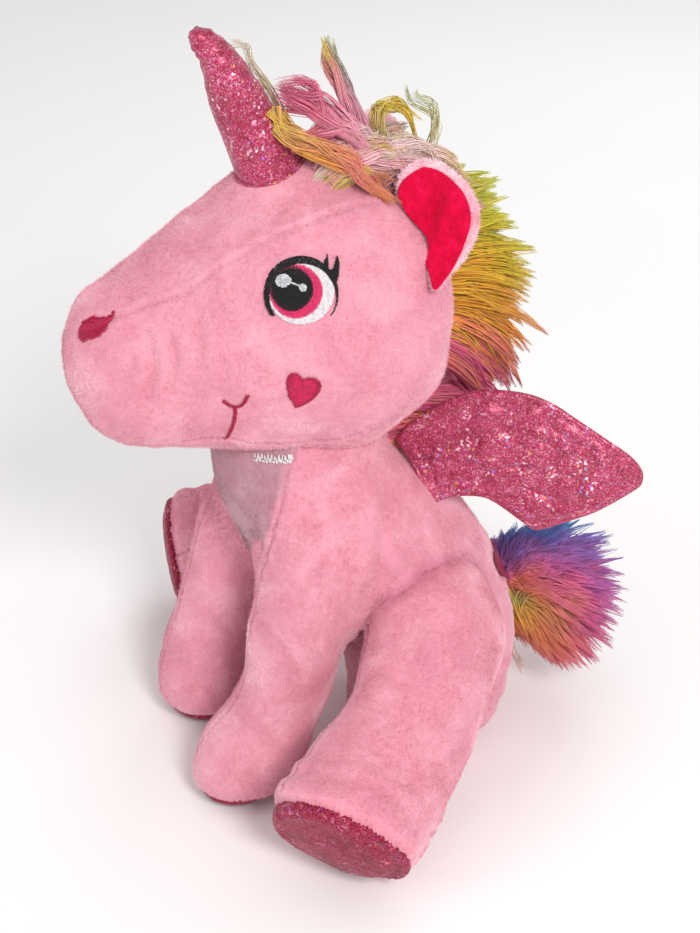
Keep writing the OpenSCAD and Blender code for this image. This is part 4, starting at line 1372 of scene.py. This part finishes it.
def strands(name, guides, dyes, body, replaces, count=10, base=1.7, tip=0.35, width=0.62, segs=7, seed=200,
            flare=0.0, wave=0.8):
    """Locks of long pile. Each guide is a curve, and each lock is a bundle of strands that gathers to a point."""
    r = np.random.default_rng(seed)
    t = np.linspace(0, 1, segs)
    verts, faces, dye = [], [], []
    at = 0
    for g, c in zip(guides, dyes):
        line = spline(g, t)
        run_ = unit(np.gradient(line, axis=0))
        a = unit(np.cross(run_, r.normal(size=3)))
        b = np.cross(run_, a)
        shade = r.normal() * 0.05
        for _ in range(count):
            ang, rad = r.uniform(0, 6.283), math.sqrt(r.random())
            off = base * (1 - t) ** 0.8 + tip * t + flare * np.maximum(t - 0.72, 0) / 0.28
            belly = 0.5 * np.sin(math.pi * t) * base
            reach = r.uniform(0.84, 1.06)
            p = spline(g, np.clip(t * reach, 0, 1)) if reach < 1 else line + run_ * (t * (reach - 1) * 12)[:, None]
            p = (p + a * (math.cos(ang) * rad * (off + belly))[:, None]
                 + b * (math.sin(ang) * rad * (off + belly))[:, None])
            w1, w2 = r.normal(size=2) * wave * 0.35
            p = p + a * (w1 * np.sin(t * 5.2 + ang))[:, None] + b * (w2 * np.sin(t * 4.1 + 2 * ang))[:, None]
            side_ = unit(np.cross(run_, r.normal(size=3)))
            other = np.cross(run_, side_)
            w = width * (1 - 0.55 * t**2) * r.uniform(0.75, 1.2) * 0.5
            w[-1] *= 0.45
            tri = np.stack([p + side_ * w[:, None], p + (other * 0.87 - side_ * 0.5) * w[:, None],
                            p + (-other * 0.87 - side_ * 0.5) * w[:, None]], 1)
            verts.append(tri.reshape(-1, 3))
            shift = float(np.clip(r.normal() * 0.045 + shade, -0.12, 0.12))
            own_dye = c(p) if callable(c) else spline_colour(c, t + r.normal() * 0.05)
            cc = np.clip(own_dye * (1 + shift), 0, 1)
            dye.append(np.repeat(cc, 3, 0))
            for i in range(segs - 1):
                for j in range(3):
                    k = (j + 1) % 3
                    faces.append((at + i * 3 + j, at + i * 3 + k, at + i * 3 + 3 + k, at + i * 3 + 3 + j))
            faces.append((at + segs * 3 - 3, at + segs * 3 - 2, at + segs * 3 - 1))
            at += segs * 3
    v = np.vstack(verts)
    v[:, 2] = np.maximum(v[:, 2], 1.0)
    ob = add(name, v, faces, HAIR)
    paint(ob, np.vstack(dye), "dye")
    if body == "tail":
        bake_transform(ob)
    else:
        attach(ob, body)
    if replaces:
        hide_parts(*replaces)
    return ob


def spline_colour(stops, t):
    """The colours at shares t of the way along a strand."""
    pos = [s[0] for s in stops]
    cols = np.array([s[1] for s in stops])
    t = np.clip(t, 0, 1)
    return np.column_stack([np.interp(t, pos, cols[:, i]) for i in range(3)])


def blend_stops(a, b, f_):
    return [(pa * (1 - f_) + pb * f_, tuple(np.array(ca) * (1 - f_) + np.array(cb) * f_))
            for (pa, ca), (pb, cb) in zip(a, b)]


OUTER = np.array([(-34, 256), (-20, 260), (-6, 256), (10, 245), (26, 228), (37, 210), (43.5, 192), (47, 177),
                  (47.5, 169), (43, 152), (38, 142)], float)
CENTRE = np.array((-25.0, 186.0))


def outer_reach(phi):
    """How far the hair's outline is from the middle of the head, at an angle back from straight up."""
    d_ = np.array((math.sin(phi), math.cos(phi)))
    best = 40.0
    for a, b in zip(OUTER[:-1], OUTER[1:]):
        m = np.array([[d_[0], a[0] - b[0]], [d_[1], a[1] - b[1]]])
        if abs(np.linalg.det(m)) < 1e-9:
            continue
        s, u = np.linalg.solve(m, a - CENTRE)
        if s > 0 and -0.001 <= u <= 1.001:
            best = max(best, s)
    return best


def root_reach(phi, x):
    """How far the head's skin is from its middle, at the same angle."""
    d_ = Vector((0, math.sin(phi), math.cos(phi)))
    hit = head_skin.ray_cast(Vector((x, CENTRE[0], CENTRE[1])), d_, 90)
    return (hit[3] if hit[0] is not None else 45.0)


CREAM = srgb(238, 222, 178)
# the mane's dye from crown to nape, each with its colours from root to tip
STOPS = [
    (0.00, [(0, srgb(246, 178, 190)), (0.45, srgb(246, 214, 200)), (1, srgb(236, 222, 186))]),
    (0.22, [(0, srgb(244, 170, 150)), (0.45, srgb(240, 214, 170)), (1, srgb(228, 224, 170))]),
    (0.36, [(0, srgb(240, 160, 60)), (0.5, srgb(236, 202, 70)), (1, srgb(214, 218, 110))]),
    (0.50, [(0, srgb(240, 160, 40)), (0.5, srgb(234, 200, 50)), (1, srgb(204, 218, 50))]),
    (0.68, [(0, srgb(240, 156, 40)), (0.5, srgb(236, 186, 44)), (1, srgb(230, 206, 56))]),
    (0.84, [(0, srgb(242, 152, 46)), (0.5, srgb(240, 184, 46)), (1, srgb(240, 178, 60))]),
    (0.94, [(0, srgb(242, 152, 60)), (0.6, srgb(242, 166, 60)), (1, srgb(242, 140, 96))]),
    (1.00, [(0, srgb(240, 130, 110)), (0.5, srgb(238, 112, 140)), (1, srgb(230, 100, 150))])]


def mane_dye(u):
    """The mane's colours at share u of the way from crown to nape."""
    for (a, sa), (b, sb) in zip(STOPS[:-1], STOPS[1:]):
        if u <= b:
            return blend_stops(sa, sb, (u - a) / (b - a))
    return STOPS[-1][1]


r = np.random.default_rng(301)
guides, dyes = [], []
locks = int(470 * (1))
for i in range(locks):
    u = (i + r.random()) / locks
    phi = math.radians(-10 + 122 * u)
    x = r.uniform(-8, 8)
    inner = root_reach(phi, x) - 2
    full = outer_reach(phi + 0.05)
    full = inner + (full - inner) * float(np.interp(u, [0, 0.3, 0.45], [0.5, 0.62, 1.0]))
    layer = r.random() ** 0.6
    reach = inner + (full - inner) * (0.45 + 0.55 * layer) + r.normal() * 1.6
    lean = math.radians(3 + 7 * r.random() + 6 * u)
    tip_x = float(np.clip(x * 1.35 + r.normal() * 2.4, -13.5, 13.5))
    pts = []
    for s_ in (0, 0.35, 0.7, 1.0):
        rr = inner + (reach - inner) * s_
        q = phi + lean * s_**1.6 - 0.02
        pts.append((x + (tip_x - x) * s_**0.8, CENTRE[0] + rr * math.sin(q), CENTRE[1] + rr * math.cos(q) - 1.2 * s_**2))
    guides.append(pts)
    dyes.append(mane_dye(float(np.clip(u + r.normal() * 0.03, 0, 1))))
strands("mane_locks_left", guides[::2], dyes[::2], "head", ("mane_pile", "mane_strip"),
        20, 2.5, 0.25, 0.5, 7, 302)
strands("mane_locks_right", guides[1::2], dyes[1::2], "head", (), 20, 2.5, 0.25, 0.5, 7, 305)

# short dense undercoat, so that nothing shows between the locks, its dye darkened as painted shade
guides, dyes = [], []
many = 260
for i in range(many):
    u = (i + r.random()) / many
    phi = math.radians(-10 + 126 * u)
    x = r.uniform(-9, 9)
    inner = root_reach(phi, x) - 2
    thin = float(np.interp(u, [0, 0.3, 0.45], [0.6, 0.7, 1.0]))
    reach = inner + (outer_reach(phi) - inner) * r.uniform(0.3, 0.55) * thin
    guides.append([(x, CENTRE[0] + (inner + (reach - inner) * s_) * math.sin(phi + 0.08 * s_),
                    CENTRE[1] + (inner + (reach - inner) * s_) * math.cos(phi + 0.08 * s_)) for s_ in (0, 0.5, 1)])
    # painted shade: the undercoat's dye is darkened, most at the root, where the locks above shade it
    dyes.append([(p_, tuple(np.array(c_) * (0.85 if k_ == 0 else 0.92)))
                 for k_, (p_, c_) in enumerate(mane_dye(u))])
strands("mane_undercoat", guides, dyes, "head", (), 10, 2.6, 1.6, 1.0, 5, 303)

# nape: the mane's last locks are sewn to the back of the neck
guides, dyes = [], []
for i in range(150):
    z0 = r.uniform(126, 146)
    x = r.uniform(-6.5, 6.5)
    y0 = -43 + math.sqrt(max(33.0**2 - x * x, 0)) - 2.5 + (130 - z0) * 0.45 * (z0 < 130)
    far = r.uniform(22, 46) * (0.65 + 0.35 * (z0 - 126) / 20)
    drop_ = r.uniform(-2, 7)
    tipx = float(np.clip(x * 1.1 + r.normal(), -7.5, 7.5))
    guides.append([(x, y0, z0), (x, y0 + far * 0.35, z0 + 1.2), ((x + tipx) / 2, y0 + far * 0.7, z0 - drop_ * 0.3),
                   (tipx, y0 + far, z0 - drop_)])
    shade = [srgb(226, 96, 142), srgb(240, 124, 160), srgb(244, 150, 110), srgb(236, 110, 130)][r.integers(4)]
    dyes.append([(0, shade), (1, shade)])
strands("nape_locks", guides, dyes, "torso", ("nape_pile",), 12, 1.8, 0.3, 0.66, 7, 304)

# low locks: orange and then pink hair that falls from the back of the head towards the wings
guides, dyes = [], []
for i in range(130):
    low = r.random()
    phi = math.radians(102 + 26 * low)
    x = r.uniform(-9, 11)
    inner = root_reach(phi, x) - 2
    p = np.array((x, CENTRE[0] + inner * math.sin(phi), CENTRE[1] + inner * math.cos(phi)))
    go = unit(np.array((r.normal() * 0.06, 0.75 + 0.25 * r.random(), -0.55 - 0.5 * r.random())))
    size = r.uniform(18, 29) + 8 * low
    guides.append([p, p + go * size * 0.4 + np.array((0, 2.0, 1.0)), p + go * size * 0.75 + np.array((0, 2.2, 0)), p + go * size])
    if low + r.normal() * 0.12 < 0.45:
        shade = [srgb(240, 166, 50), srgb(242, 150, 70), srgb(240, 184, 60), srgb(242, 140, 110)][r.integers(4)]
    else:
        shade = [srgb(236, 110, 154), srgb(244, 140, 170), srgb(226, 92, 142), srgb(244, 140, 120)][r.integers(4)]
    dyes.append([(0, shade), (1, tuple(np.array(shade) * 0.95))])
strands("mane_low_locks", guides, dyes, "head", (), 18, 2.4, 0.4, 0.5, 7, 306)

# forelock: loose pale strands on the crown, some with blunt cut ends; each has its curve and its colours
STRAND = {
    "tall_a": ([(4, -17.5, 230), (4, -21, 244), (4, -27, 258.5), (4, -31.5, 270), (4, -36, 279)],
               [(0, srgb(252, 206, 214)), (0.5, srgb(248, 164, 190)), (0.78, srgb(244, 170, 160)), (1, srgb(222, 206, 96))]),
    "tall_b": ([(2, -16.5, 229.5), (2, -19, 243.5), (2, -24, 257), (2, -28.2, 268), (2, -32.5, 279.5)],
               [(0, srgb(252, 206, 214)), (0.4, srgb(246, 168, 194)), (0.75, srgb(176, 158, 160)), (1, srgb(200, 206, 150))]),
    "left_a": ([(6, -17, 232), (6, -24, 249), (6, -34, 258), (6, -42.5, 263), (6, -48, 267.5)],
               [(0, srgb(252, 200, 212)), (0.4, srgb(248, 160, 184)), (0.8, srgb(236, 108, 146)), (1, srgb(206, 106, 140))]),
    "left_b": ([(8, -18, 232), (8, -25, 247.5), (8, -35, 256.5), (8, -43, 259.5), (8, -49, 262.5)],
               [(0, srgb(252, 200, 212)), (0.4, srgb(248, 156, 182)), (0.8, srgb(242, 120, 156)), (1, srgb(214, 108, 140))]),
    "low": ([(8, -18, 232), (9, -28, 249.5), (9, -36, 251.5), (9, -42, 249.5), (9, -46, 247.5)],
            [(0, srgb(252, 200, 212)), (0.5, srgb(246, 140, 170)), (0.8, srgb(246, 130, 146)), (1, srgb(244, 160, 110))]),
    "fall_a": ([(7, -53, 258), (11, -47, 250.5), (14, -37, 246), (16.5, -26.5, 241.5), (19, -17, 235)],
               [(0, srgb(232, 196, 96)), (0.35, srgb(240, 172, 70)), (0.7, srgb(242, 156, 100)), (1, srgb(242, 160, 120))]),
    "fall_b": ([(9, -52, 255.5), (14, -45, 249.5), (19, -32, 244.5), (22.5, -25, 238), (25, -18.5, 230)],
               [(0, srgb(230, 200, 96)), (0.4, srgb(244, 166, 110)), (0.7, srgb(246, 140, 140)), (1, srgb(240, 160, 80))]),
    "arc": ([(-5, -42.5, 247), (-6, -50, 260), (-6, -54.4, 271.5), (-6, -58, 278.5), (-6, -61.5, 279.6)],
            [(0, srgb(226, 210, 150)), (0.5, srgb(238, 230, 206)), (1, srgb(236, 228, 212))]),
    "loop": ([(2, -12, 237), (2, -14.2, 252.5), (2, -10, 256), (2, -5.3, 250.8), (2, 0, 243.5)],
             [(0, CREAM), (0.4, srgb(234, 204, 80)), (1, srgb(232, 200, 60))]),
    "thin": ([(0, 4.5, 235), (0, 7.5, 243.5), (0, 5.2, 250), (0, 0, 255), (0, -2.5, 258)],
             [(0, CREAM), (0.5, srgb(206, 200, 140)), (1, srgb(190, 196, 150))]),
    "crown_a": ([(8, -37, 239), (8, -30, 245), (8, -22, 245), (9, -14, 243), (10, -6, 240)],
                [(0, srgb(250, 190, 196)), (0.4, srgb(252, 212, 218)), (0.8, srgb(250, 214, 214)), (1, srgb(246, 220, 196))]),
    "crown_b": ([(14, -36, 237), (16, -28, 242), (17, -20, 241), (18, -13, 238), (18, -7, 234)],
                [(0, srgb(250, 170, 176)), (0.4, srgb(250, 196, 204)), (0.8, srgb(248, 190, 190)), (1, srgb(242, 170, 130))]),
    "right": ([(12, -21, 237), (13, -12.4, 242), (13, -3.5, 241.5), (13, 4, 237.5), (12, 12, 230)],
              [(0, srgb(252, 206, 214)), (0.35, srgb(250, 222, 220)), (0.7, srgb(246, 214, 200)), (1, srgb(236, 206, 130))])}
# which strand, how many locks of it, strands in each, and how far its end flares
LOCKS = (("tall_a", 4, 22, 0.0), ("tall_b", 4, 20, 0.0), ("left_a", 5, 24, 0.7), ("left_b", 5, 24, 0.7), ("low", 5, 20, 0.0),
         ("fall_a", 5, 10, 0.0), ("fall_b", 6, 10, 0.0), ("arc", 2, 8, 0.0), ("loop", 5, 12, 0.0), ("thin", 2, 8, 0.0),
         ("right", 20, 20, 0.0), ("crown_a", 16, 20, 0.0), ("crown_b", 14, 20, 0.0))
for i, (key, times, count, flare) in enumerate(LOCKS):
    g, c = STRAND[key]
    many, tint = [], []
    for q in range(times):
        jit = r.normal(size=(len(g), 3)) * (1.0 if times < 5 else 1.7) * np.linspace(0.8, 1.3, len(g))[:, None]
        many.append((np.array(g, float) + jit).tolist())
        tint.append(c)
    strands("forelock_" + key, many, tint, "head", ("forelock_pile",) if i == 0 else (), int(count * 1.5),
            1.5 if times > 1 else 0.7, 0.9 if flare else 0.4, 0.35, 12, 310 + i, flare, 0.7)

# soft pale crown hair under the loose strands
guides, dyes = [], []
for i in range(240):
    x = r.uniform(-10, 17)
    y = r.uniform(-41, 2)
    hit = head_skin.ray_cast(Vector((x, y, 290)), Vector((0, 0, -1)), 100)
    z = hit[0][2] - 1.5
    go = unit(np.array((r.normal() * 0.2 + 0.12, r.uniform(0.5, 1.3), 0.45 + 0.3 * r.random())))
    size = r.uniform(10, 19)
    p = np.array((x, y, z))
    guides.append([p, p + go * size * 0.45 + np.array((0, 0, 1.8)), p + go * size * 0.8 + np.array((0.4, 1.0, 0.6)),
                   p + go * size + np.array((0.6, 2.2, -1.6))])
    pale = [srgb(250, 206, 212), srgb(246, 180, 194), srgb(248, 228, 206), srgb(238, 206, 120),
            srgb(246, 190, 190)][r.integers(5)]
    dyes.append([(0, pale), (0.5, tuple(np.array(pale) * 0.98)), (1, CREAM if r.random() < 0.3 else pale)])
strands("crown_locks", guides, dyes, "head", (), 22, 2.2, 0.8, 0.32, 7, 330, 0.0, 0.6)

# tail: a full fan of long pile from the root ball
ROOT = np.array((0, 41, 51.0))
BLUE, VIOLET, PLUM = srgb(0, 150, 214), srgb(156, 96, 190), srgb(214, 112, 160)
ORANGE, SUN, LEAF, CANDY = srgb(240, 156, 70), srgb(236, 200, 70), srgb(120, 196, 110), srgb(238, 110, 160)
# the tail's dye by angle up from level, each with its colours from root to tip
TAIL_ZONES = [
    (-80, [(0, SUN), (0.35, ORANGE), (0.7, srgb(240, 136, 110)), (1, srgb(238, 120, 140))]),
    (-45, [(0, SUN), (0.35, srgb(240, 176, 80)), (0.65, srgb(240, 130, 120)), (1, srgb(232, 106, 150))]),
    (-22, [(0, LEAF), (0.3, srgb(238, 176, 84)), (0.6, CANDY), (1, srgb(196, 96, 176))]),
    (2, [(0, srgb(170, 190, 90)), (0.24, srgb(242, 150, 110)), (0.5, srgb(238, 112, 168)), (0.8, srgb(190, 100, 184)),
         (1, VIOLET)]),
    (20, [(0, ORANGE), (0.24, srgb(242, 126, 130)), (0.48, srgb(216, 106, 176)), (0.75, srgb(140, 106, 198)), (1, BLUE)]),
    (36, [(0, SUN), (0.22, srgb(242, 130, 120)), (0.45, srgb(210, 106, 178)), (0.68, srgb(110, 114, 200)), (1, BLUE)]),
    (56, [(0, ORANGE), (0.25, srgb(232, 112, 156)), (0.5, srgb(160, 106, 192)), (0.72, srgb(60, 126, 204)), (1, BLUE)]),
    (85, [(0, PLUM), (0.4, srgb(180, 106, 186)), (1, srgb(80, 126, 200))])]


def tail_dye(p):
    """The tail is dyed in zones that fan out from its root."""
    dy, dz = p[:, 1] - 36 + 0.2 * p[:, 0], p[:, 2] - 51 - 0.42 * p[:, 0]
    h = np.degrees(np.arctan2(dz, np.maximum(dy, 0.5))) + 5 * waves(p, 16, 345)
    full_ = np.interp(h, [-86, -67, -55, -32, -10, 8, 30, 47, 65, 85], [24, 40, 54, 61, 60, 58, 52, 40, 32, 30])
    u_ = np.clip(np.hypot(dy, dz) / full_ + 0.07 * waves(p, 10, 346), 0, 1)
    angles = [z_[0] for z_ in TAIL_ZONES]
    table = np.stack([spline_colour(z_[1], u_) for z_ in TAIL_ZONES])
    i_ = np.clip(np.searchsorted(angles, h) - 1, 0, len(angles) - 2)
    w_ = np.clip((h - np.array(angles)[i_]) / (np.array(angles)[i_ + 1] - np.array(angles)[i_]), 0, 1)[:, None]
    rows_ = np.arange(len(p))
    return table[i_, rows_] * (1 - w_) + table[i_ + 1, rows_] * w_


guides, dyes = [], []
locks = 620
for i in range(locks):
    a = math.radians(r.uniform(-84, 84))
    lean = math.radians(62) * (2 * r.random() - 1)
    flat_ = math.cos(lean)
    d_ = np.array((math.sin(lean), math.cos(a) * flat_, math.sin(a) * flat_))
    full = np.interp(math.degrees(a), [-86, -78, -67, -55, -45, -32, -10, 8, 30, 47, 65, 85],
                     [20, 24, 36, 50, 56, 57, 55, 53, 48, 35, 28, 28])
    reach = min(full * (1 - 0.25 * abs(math.sin(lean))), 30 / max(abs(d_[0]), 0.01)) * (0.74 + 0.27 * r.random() ** 0.5)
    start = ROOT + np.array((r.uniform(-8, 8), r.uniform(-2.5, 0.5), r.uniform(-13, 10)))
    end = ROOT + d_ * reach + np.array((0, 0, -2.0))
    mid1 = start * 0.6 + (ROOT + d_ * reach * 0.42) * 0.4 + d_ * 3 + np.array((0, 1.0, 0))
    mid2 = start * 0.25 + (ROOT + d_ * reach * 0.85) * 0.75 + np.array((0, 0, 1.6 * math.cos(a)))
    guides.append([start, mid1, mid2, end])
    dyes.append(tail_dye)
strands("tail_locks_left", guides[::2], dyes[::2], "tail", ("tail_pile",), 14, 2.4, 0.4, 0.62, 7, 340)
strands("tail_locks_right", guides[1::2], dyes[1::2], "tail", (), 14, 2.4, 0.4, 0.62, 7, 342)
guides, dyes = [], []
for i in range(5):
    x = 7 + r.normal() * 1.2
    guides.append([(x, 39.5, 43), (x + 1, 40.5, 32), (x + 1.5, 43, 23), (x + 2, 47 + r.normal(), 16 + r.normal())])
    dyes.append([(0, srgb(226, 216, 190)), (0.6, srgb(236, 222, 210)), (1, srgb(236, 190, 190))])
strands("tail_wisp", guides, dyes, "tail", (), 9, 1.0, 0.5, 0.5, 8, 341)
v, f = resurface([loft([(0, 33, 50, 2, 2), (0, 34.5, 50, 6, 6), (0, 38, 50.5, 7.5, 7.5), (0, 43, 51, 7, 7), (0, 47, 51.5, 3, 3)],
                       (1, 0, 0), 40, 8)], 1.2, 3)
n = normals(v, f)
core = add("tail_root_ball", push(v, n, 0.3 * waves(v, 4, 351)), f, FLUFF)
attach(core, "tail")
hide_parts("tail_core")

# ---------------------------------------------------------------- stage, light, camera

def stage_plane(name, size, colour):
    bm = bmesh.new()
    bmesh.ops.create_grid(bm, x_segments=8, y_segments=8, size=size)
    me = bpy.data.meshes.new(name)
    bm.to_mesh(me)
    bm.free()
    ob = bpy.data.objects.new(name, me)
    scene.collection.objects.link(ob)
    m, t, b = material(name)
    at = place(t)
    t.links.new(colours(t, noise(t, at, 9, 2.0), [(0.3, colour), (0.7, tuple(c * 1.01 for c in colour))]), b.inputs["Base Color"])
    b.inputs["Roughness"].default_value = 0.9
    me.materials.append(m)
    return ob


floor = stage_plane("floor", 12.0, (0.96, 0.96, 0.96))
floor.location = (0, 0, -0.0002)

world = bpy.data.worlds.new("studio")
scene.world = world
world.use_nodes = True
back_ = world.node_tree.nodes["Background"]
back_.inputs["Color"].default_value = (1.0, 0.985, 0.98, 1)
back_.inputs["Strength"].default_value = 0.66


def lamp(name, where, target, size, power, colour=(1, 1, 1)):
    data = bpy.data.lights.new(name, "AREA")
    data.shape = "DISK"
    data.size = size
    data.energy = power
    data.color = colour
    ob = bpy.data.objects.new(name, data)
    scene.collection.objects.link(ob)
    ob.location = where
    ob.rotation_euler = (Vector(target) - Vector(where)).to_track_quat("-Z", "Y").to_euler()
    return ob


lamp("key", (0.9, -0.02, 0.8), (0, -0.02, 0.12), 0.3, 7.2, (1.0, 0.985, 0.97))
lamp("fill_front", (0.25, -1.1, 0.75), (0, -0.02, 0.14), 0.7, 1.8, (0.97, 0.985, 1.0))
lamp("back", (-0.7, 0.7, 0.8), (0, 0, 0.12), 0.7, 2.5)

scene.view_settings.view_transform = "Standard"
scene.view_settings.look = "None"

# the photo's view: focal length and picture height in pixels, turn from the front, rise, and distance
FOCAL, TALL = 1730, 933
TURN, RISE, AWAY = 71, 30, 0.640
cam_data = bpy.data.cameras.new("camera")
cam_data.sensor_fit = "AUTO"
cam_data.sensor_width = 24.0
cam_data.lens = FOCAL / TALL * 24.0
cam = bpy.data.objects.new("camera", cam_data)
scene.collection.objects.link(cam)
az, el = math.radians(TURN), math.radians(RISE)
way = Vector((math.sin(az) * math.cos(el), -math.cos(az) * math.cos(el), math.sin(el)))
target = Vector((0, -0.024, 0.118))
cam.location = target + way * AWAY
cam.rotation_euler = (-way).to_track_quat("-Z", "Y").to_euler()
cam_data.clip_start = 0.01
scene.camera = cam
